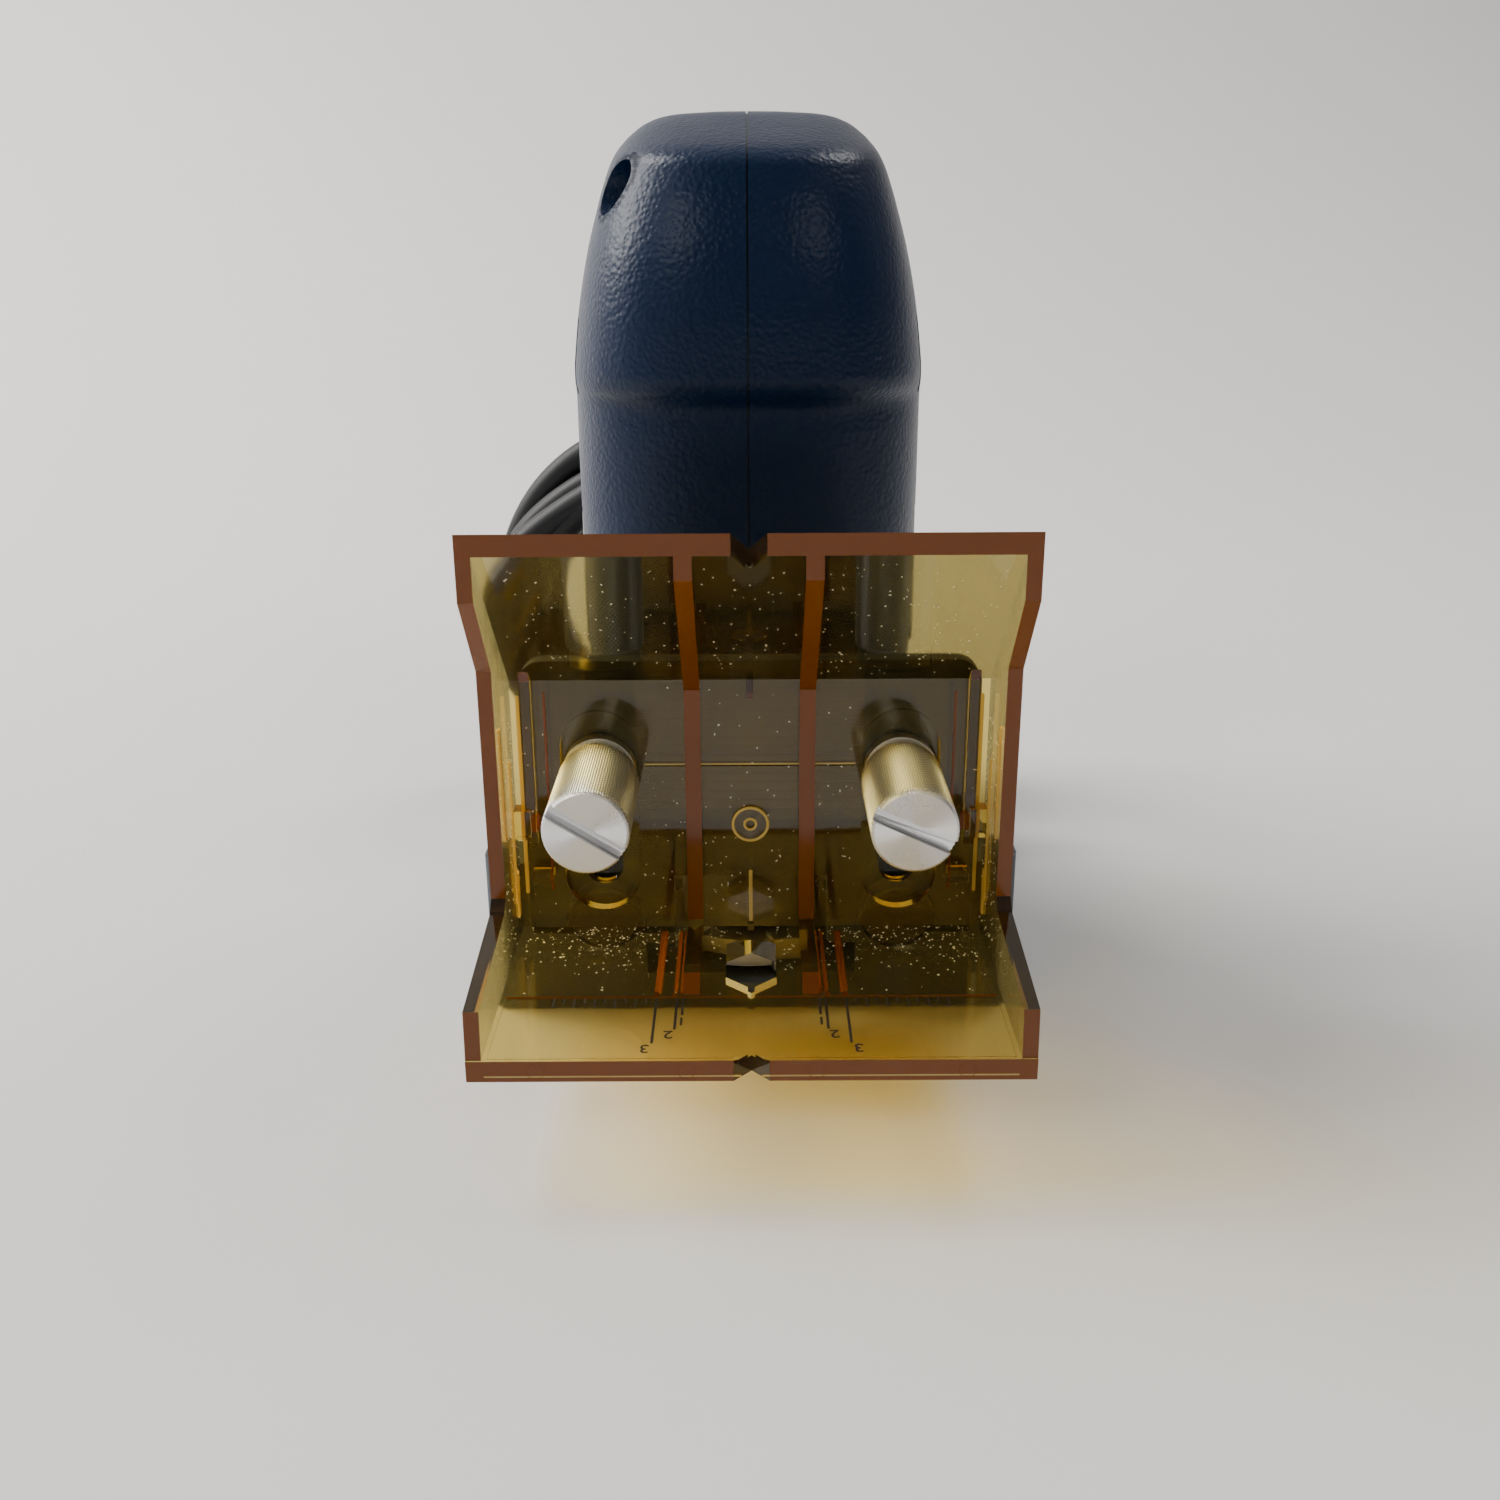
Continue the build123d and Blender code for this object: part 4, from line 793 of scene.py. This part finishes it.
# the clear amber fence and the marks moulded into it
fenceLow, fenceHigh = (Vector(c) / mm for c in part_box("fence"))
fenceWall = 4.0
plateFront = fenceHigh.y - fenceWall
trim = {
    "inner wall": 38.9, "floor": 20.0, "line z": 17.5, "line": 0.24, "line ends": (1.5, 38.6),
    "ejectors": (9.4, 31.1), "ejector radius": 1.2, "ejector z": 18.3, "proud": 0.03,
    "sight lines": [(17.3, 49.38, 49.62), (0.3, 21, 30.5)],  # half width, bottom, top
    # reach, bottom, top, width
    "rails": [(12.2, 41.5, 60.0, 1.4), (5.0, 27.0, 52.0, 0.7), (3.0, 24.0, 32.0, 1.4)],
    # inner and outer edge, reach, bottom, top
    "corner strip": (37.4, 38.0, 0.5, 26.5, 61.5),
    "clips": [(34.9, 36.4, 0.9, 38.0, 41.2), (33.2, 33.6, 0.4, 27.0, 62.0)],
    "bars": [(14.5, 1.1), (11.75, 0.6), (10.85, 0.5)], "bar reach": (2.2, 23.8), "bar height": 0.25,
    "gate z": 39.0, "gate rings": [(2.9, 0.26), (0.95, 0.24)], "gate depth": 0.52,
}


def makeFence():
    # the moulding as drawn; its end faces and rib faces take a deep orange copy, painted colour for what long
    # paths of light through amber give, and its top slope a darker copy that is painted shade
    piece = linkObject("clearFence", nodes["fence"].data.copy())
    piece.data.materials.clear()
    for material in (finish["amber"], amberEdge, amberShadedSlope):
        piece.data.materials.append(material)
    edgeIndex, shadedSlopeIndex = 1, 2
    for polygon in piece.data.polygons:
        middle, normal = polygon.center / mm, polygon.normal
        reach = plateFront - middle.y
        ends = normal.y < -0.75 and reach > 10
        ribs = normal.y < -0.5 and 7.9 < abs(middle.x) < 10.7 and reach > 1
        slope = abs(normal.x) < 0.1 and abs(normal.y - normal.z) < 0.1 and middle.z > 60
        if ends or ribs:
            polygon.material_index = edgeIndex
        # the top slope takes the darker copy, which is painted shade
        elif slope:
            polygon.material_index = shadedSlopeIndex
    softEdges(piece, 0.2 * mm, segments=2, angle=30)
    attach(piece, "fence")
    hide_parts("fence")


def trimBlock(shape, low, high):
    # a small bar with rounded edges
    low, high = Vector(low) * mm, Vector(high) * mm
    edges = {edge for vert in cubeIn(shape, low, high) for edge in vert.link_edges}
    bmesh.ops.bevel(shape, geom=list(edges), offset=min(high - low) * 0.3, segments=2, affect="EDGES")


def sideBlock(shape, side, x0, x1, y0, y1, z0, z1):
    # the same bar on the left or the right of the middle
    trimBlock(shape, (min(side * x0, side * x1), y0, z0), (max(side * x0, side * x1), y1, z1))


def ringOn(shape, x, y, z, radius, thick):
    steps, sides = 40, 8
    rows = []
    for i in range(steps):
        a = 2 * pi * i / steps
        rows.append([])
        for k in range(sides):
            reach, lift = radius + thick * cos(2 * pi * k / sides), thick * sin(2 * pi * k / sides)
            rows[-1].append(shape.verts.new(Vector((x + reach * cos(a), y + lift, z + reach * sin(a))) * mm))
    for i in range(steps):
        for k in range(sides):
            m, n = (i + 1) % steps, (k + 1) % sides
            shape.faces.new((rows[i][k], rows[m][k], rows[m][n], rows[i][n])).smooth = True


def closeShape(shape, name, material):
    return linkObject(name, meshOf(shape, name), "fence", material)


def makeTrim():
    # marks on the fence. In a lighter amber that paints a highlight: a line along the front face standing for
    # light refracted in the flange, sight lines, rails along the walls, corner strips and the gate. In the deep
    # orange copy: ejector rings, clips, and bars on the floor painted as the flange's grooves seen refracted
    shape = bmesh.new()
    front, proud = fenceLow.y, trim["proud"]
    for side in (-1, 1):
        sideBlock(shape, side, *trim["line ends"], front - proud, front + proud,
                  trim["line z"] - trim["line"] / 2, trim["line z"] + trim["line"] / 2)
    for half, z0, z1 in trim["sight lines"]:
        trimBlock(shape, (-half, plateFront - 0.12, z0), (half, plateFront + proud, z1))
    for side in (-1, 1):
        wall = trim["inner wall"] - 0.02
        for reach, z0, z1, wide in trim["rails"]:
            sideBlock(shape, side, wall - 0.35, wall, plateFront - reach - wide, plateFront - reach, z0, z1)
        x0, x1, reach, z0, z1 = trim["corner strip"]
        sideBlock(shape, side, x0, x1, plateFront - reach, plateFront + proud, z0, z1)
    for radius, thick in trim["gate rings"]:
        ringOn(shape, 0, plateFront - trim["gate depth"], trim["gate z"], radius, thick)
    closeShape(shape, "paintedGlintMarks", amberGlow)
    shape = bmesh.new()
    near, far = trim["bar reach"]
    for side in (-1, 1):
        for x in trim["ejectors"]:
            ringOn(shape, side * x, front, trim["ejector z"], trim["ejector radius"], 0.06)
        for x, wide in trim["bars"]:
            trimBlock(shape, (side * x - wide / 2, plateFront - far, trim["floor"] - 0.05),
                      (side * x + wide / 2, plateFront - near, trim["floor"] + trim["bar height"]))
        for x0, x1, reach, z0, z1 in trim["clips"]:
            sideBlock(shape, side, x0, x1, plateFront - reach, plateFront + proud, z0, z1)
    closeShape(shape, "paintedOrangeMarks", amberEdge)


makeFence()
makeTrim()

# the scale printed on the fence's floor
floorTop = fenceLow.z + 3.35
scale = {"face": floorTop - 0.3, "start": 24.5, "thick": 0.02, "stroke": 0.42, "tick": 0.16,
         "lines": [(10.56, 29.9, "1", 10.6, 31.7), (11.53, 34.2, "2", 12.4, 35.6), (14.72, 38.2, "3", 15.7, 39.6)],
         "ticks": 10, "tick step": 1.5875, "short": 1.6, "long": 2.9, "digit": 2.3}


def flatBar(shape, x0, x1, y0, y1, z):
    cubeIn(shape, Vector((x0, y0, z)) * mm, Vector((x1, y1, z + scale["thick"])) * mm)


def makeScale():
    shape = bmesh.new()
    face = scale["face"] + 0.005
    begin = plateFront - scale["start"] - 0.1
    for side in (-1, 1):
        for x, reach, digit, digitX, digitReach in scale["lines"]:
            half = scale["stroke"] / 2
            flatBar(shape, side * x - half, side * x + half, plateFront - reach, begin, face)
            text = bpy.data.curves.new("digit", "FONT")
            text.body = digit
            text.size = scale["digit"] * 1.4 * mm
            text.align_x, text.align_y = "CENTER", "CENTER"
            text.extrude = scale["thick"] / 2 * mm
            text.offset = 0.00003
            holder = linkObject("digit", text)
            graph = bpy.context.evaluated_depsgraph_get()
            glyph = bpy.data.meshes.new_from_object(holder.evaluated_get(graph))
            where = Vector((side * digitX, plateFront - digitReach, face + 0.01)) * mm
            glyph.transform(Matrix.Translation(where) @ Matrix.Rotation(pi, 4, "Z"))
            shape.from_mesh(glyph)
            bpy.data.objects.remove(holder)
        for tick in range(scale["ticks"]):
            x = side * (scale["lines"][2][0] + scale["tick step"] * (tick + 1))
            reach = scale["short"] if tick % 2 == 0 else scale["long"]
            flatBar(shape, x - scale["tick"], x + scale["tick"], begin - reach, begin, face)
    linkObject("printedScale", meshOf(shape, "printedScale", outward=False), "fence", blackInk)


makeScale()


# wood dust lying in the fence: how many chips, and their least and greatest size
chips = {"floor": (620, 0.06, 0.22), "plate": (380, 0.08, 0.19), "slope": (260, 0.08, 0.18),
         "walls": (120, 0.08, 0.2), "sides": 5, "ribs": (7.6, 11), "reach": 24, "wall face": 2.3,
         "slope corner": 64.0}


def makeChips():
    shape = bmesh.new()
    sides, ribs = chips["sides"], chips["ribs"]

    def chip(spot, normal, size):
        turn = Vector(normal).to_track_quat("Z", "Y").to_matrix().to_4x4()
        turn = turn @ Matrix.Rotation(rng.uniform(0, 2 * pi), 4, "Z")
        long = size * rng.uniform(0.7, 2.0)
        corners = []
        for k in range(sides):
            angle = 2 * pi * k / sides
            flat = Vector((cos(angle) * long * rng.uniform(0.6, 1), sin(angle) * size * rng.uniform(0.5, 1), 0))
            corners.append(shape.verts.new(Vector(spot) * mm + (turn @ (flat * mm))))
        tip = shape.verts.new(Vector(spot) * mm + (turn @ Vector((0, 0, size * 0.7 * mm))))
        for k in range(sides):
            shape.faces.new((corners[k], corners[(k + 1) % sides], tip))
        shape.faces.new(corners[::-1])

    count, least, most = chips["floor"]  # denser towards the corner under the plate
    for _ in range(count):
        x = rng.uniform(-37.5, 37.5)
        reach = abs(rng.gauss(0, 9)) + 0.3
        if reach > chips["reach"] or (abs(x) < 4.6 and 3 < reach < 23) or ribs[0] < abs(x) < ribs[1]:
            continue
        chip((x, plateFront - reach, floorTop), (0, 0, 1), rng.uniform(least, most))
    count, least, most = chips["plate"]  # clinging to the plate, fewer higher up
    for _ in range(count):
        x, z = rng.uniform(-37, 37), rng.uniform(21, 63)
        if ribs[0] < abs(x) < ribs[1] or 18 < abs(x) < 32 or rng.random() < (z - 21) / 60:
            continue
        chip((x, plateFront, z), (0, -1, 0), rng.uniform(least, most))
    count, least, most = chips["slope"]
    for _ in range(count):
        x, reach = rng.uniform(-37, 37), rng.uniform(1, chips["reach"])
        if ribs[0] < abs(x) < ribs[1]:
            continue
        chip((x, plateFront - reach, chips["slope corner"] + reach), (0, -1, -1), rng.uniform(least, most))
    count, least, most = chips["walls"]
    for side in (-1, 1):
        for _ in range(count):
            reach, z = rng.uniform(0.5, 14), rng.uniform(20.5, 60)
            chip((side * (fenceHigh.x - chips["wall face"]), plateFront - reach, z), (-side, 0, 0),
                 rng.uniform(least, most))
    linkObject("woodDust", meshOf(shape, "woodDust", outward=False), "fence", dustChip)


makeChips()
print("fence dressing done")

# return springs, which shorten as the motor unit plunges
spring = {"turns": 6.5, "wire": 0.55, "steps": 28, "sides": 10, "end share": 0.12, "end pitch": 0.5}


def makeSpring(name):
    low, high = (Vector(c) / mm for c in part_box("return_spring_" + name))
    centre = (low + high) / 2
    radius = (high.x - low.x) / 2 - spring["wire"]
    count = int(spring["turns"] * spring["steps"])
    shape = bmesh.new()
    rings = []
    for step in range(count + 1):
        share = step / count
        angle = 2 * pi * spring["turns"] * share
        lie = share
        if share < spring["end share"]:  # the end turns lie close together, as on a ground spring
            lie = share * spring["end pitch"]
        elif share > 1 - spring["end share"]:
            lie = 1 - (1 - share) * spring["end pitch"]
        y = low.y + spring["wire"] + (high.y - low.y - 2 * spring["wire"]) * lie
        outward = Vector((cos(angle), 0, sin(angle)))
        middle = Vector((centre.x, y, centre.z)) + outward * radius
        ring = []
        for k in range(spring["sides"]):
            around = 2 * pi * k / spring["sides"]
            ring.append(shape.verts.new((middle + outward * spring["wire"] * cos(around)
                                         + Vector((0, spring["wire"] * sin(around), 0))) * mm))
        rings.append(ring)
    for first, second in zip(rings, rings[1:]):
        for k in range(spring["sides"]):
            n = (k + 1) % spring["sides"]
            shape.faces.new((first[k], first[n], second[n], second[k])).smooth = True
    shape.faces.new(rings[0][::-1])
    shape.faces.new(rings[-1])
    piece = linkObject("returnSpring_" + name, meshOf(shape, "returnSpring"), "base",
                       finish["zinc_steel"])
    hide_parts("return_spring_" + name)
    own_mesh(piece)


for name in ("left", "right"):
    makeSpring(name)
print("springs done")

# a pale sheet curving up behind the tool
room = {"half width": 2.6, "front": -1.6, "back": 0.35, "curve": 1.25, "height": 2.9, "steps": 28}


def makeRoom():
    material = surface("palePaper", (0.80, 0.785, 0.765), 0.8, grain=(900.0, 0.1), depth=0.00002, spread=0.05,
                       tint=0.015)
    points, faces = [], []
    profile = [(room["front"], 0.0), (room["back"], 0.0)]
    for k in range(1, room["steps"] + 1):
        angle = pi / 2 * k / room["steps"]
        profile.append((room["back"] + room["curve"] * sin(angle), room["curve"] * (1 - cos(angle))))
    profile.append((room["back"] + room["curve"], room["height"]))
    for y, z in profile:
        points += [(-room["half width"], y, z), (room["half width"], y, z)]
    for k in range(len(profile) - 1):
        faces.append((2 * k, 2 * k + 1, 2 * k + 3, 2 * k + 2))
    backdrop = linkObject("backdrop", meshFrom("backdrop", points, faces), material=material)


def areaLight(name, where, target, size, watts, gloss=1.0, color=(1, 0.985, 0.96)):
    lamp = bpy.data.lights.new(name, "AREA")
    lamp.shape = "RECTANGLE"
    lamp.size, lamp.size_y = size
    lamp.energy = watts
    lamp.color = color
    lamp.specular_factor = gloss
    holder = bpy.data.objects.new(name, lamp)
    holder.location = where
    holder.rotation_euler = (Vector(target) - Vector(where)).to_track_quat("-Z", "Y").to_euler()
    bpy.context.scene.collection.objects.link(holder)


def makeWorld():
    # brighter behind and above the object than in front of it
    world = bpy.data.worlds.new("softRoom")
    world.use_nodes = True
    tree = world.node_tree
    spot = place(tree, "ShaderNodeSeparateXYZ", i0=place(tree, "ShaderNodeTexCoord").outputs["Generated"])
    ahead = mapRange(tree, spot.outputs[1], -0.6, 0.6, 0.10, 0.33)
    seen = place(tree, "ShaderNodeLightPath").outputs["Is Camera Ray"]
    level = place(tree, "ShaderNodeMix", i0=seen, i2=ahead, i3=0.60)
    back = tree.nodes["Background"]
    back.inputs["Color"].default_value = (0.96, 0.97, 1.0, 1)
    tree.links.new(level.outputs[0], back.inputs["Strength"])
    bpy.context.scene.world = world


makeRoom()
areaLight("softLeft", (-0.75, 0.45, 1.15), (0, 0, 0.05), (0.55, 0.45), 12.0, gloss=0.6)
areaLight("softRight", (0.65, 0.55, 1.2), (0, 0, 0.05), (0.5, 0.4), 5.2, gloss=0.6)
areaLight("windowWash", (-1.9, 0.5, 1.1), (0.1, 0.5, 0.0), (1.2, 1.0), 52.0, gloss=0.15)
areaLight("frontLeft", (-0.8, -1.05, 0.95), (0, 0, 0.1), (0.35, 0.35), 4.2)
areaLight("frontRight", (0.75, -1.1, 0.95), (0, 0, 0.1), (0.3, 0.3), 2.2)
makeWorld()

view = {"sensor": 36.0, "lens": 35.85, "place": (0.0, -0.25636, 0.13324), "down": 19.39, "roll": -0.3}
camera = bpy.data.cameras.new("camera")
camera.sensor_width = view["sensor"]
camera.lens = view["lens"]
camera.clip_start = 0.01
eye = bpy.data.objects.new("camera", camera)
eye.location = view["place"]
eye.rotation_euler = (Matrix.Rotation(radians(90 - view["down"]), 3, "X")
                      @ Matrix.Rotation(radians(view["roll"]), 3, "Z")).to_euler()
bpy.context.scene.collection.objects.link(eye)
bpy.context.scene.camera = eye
print("camera done")
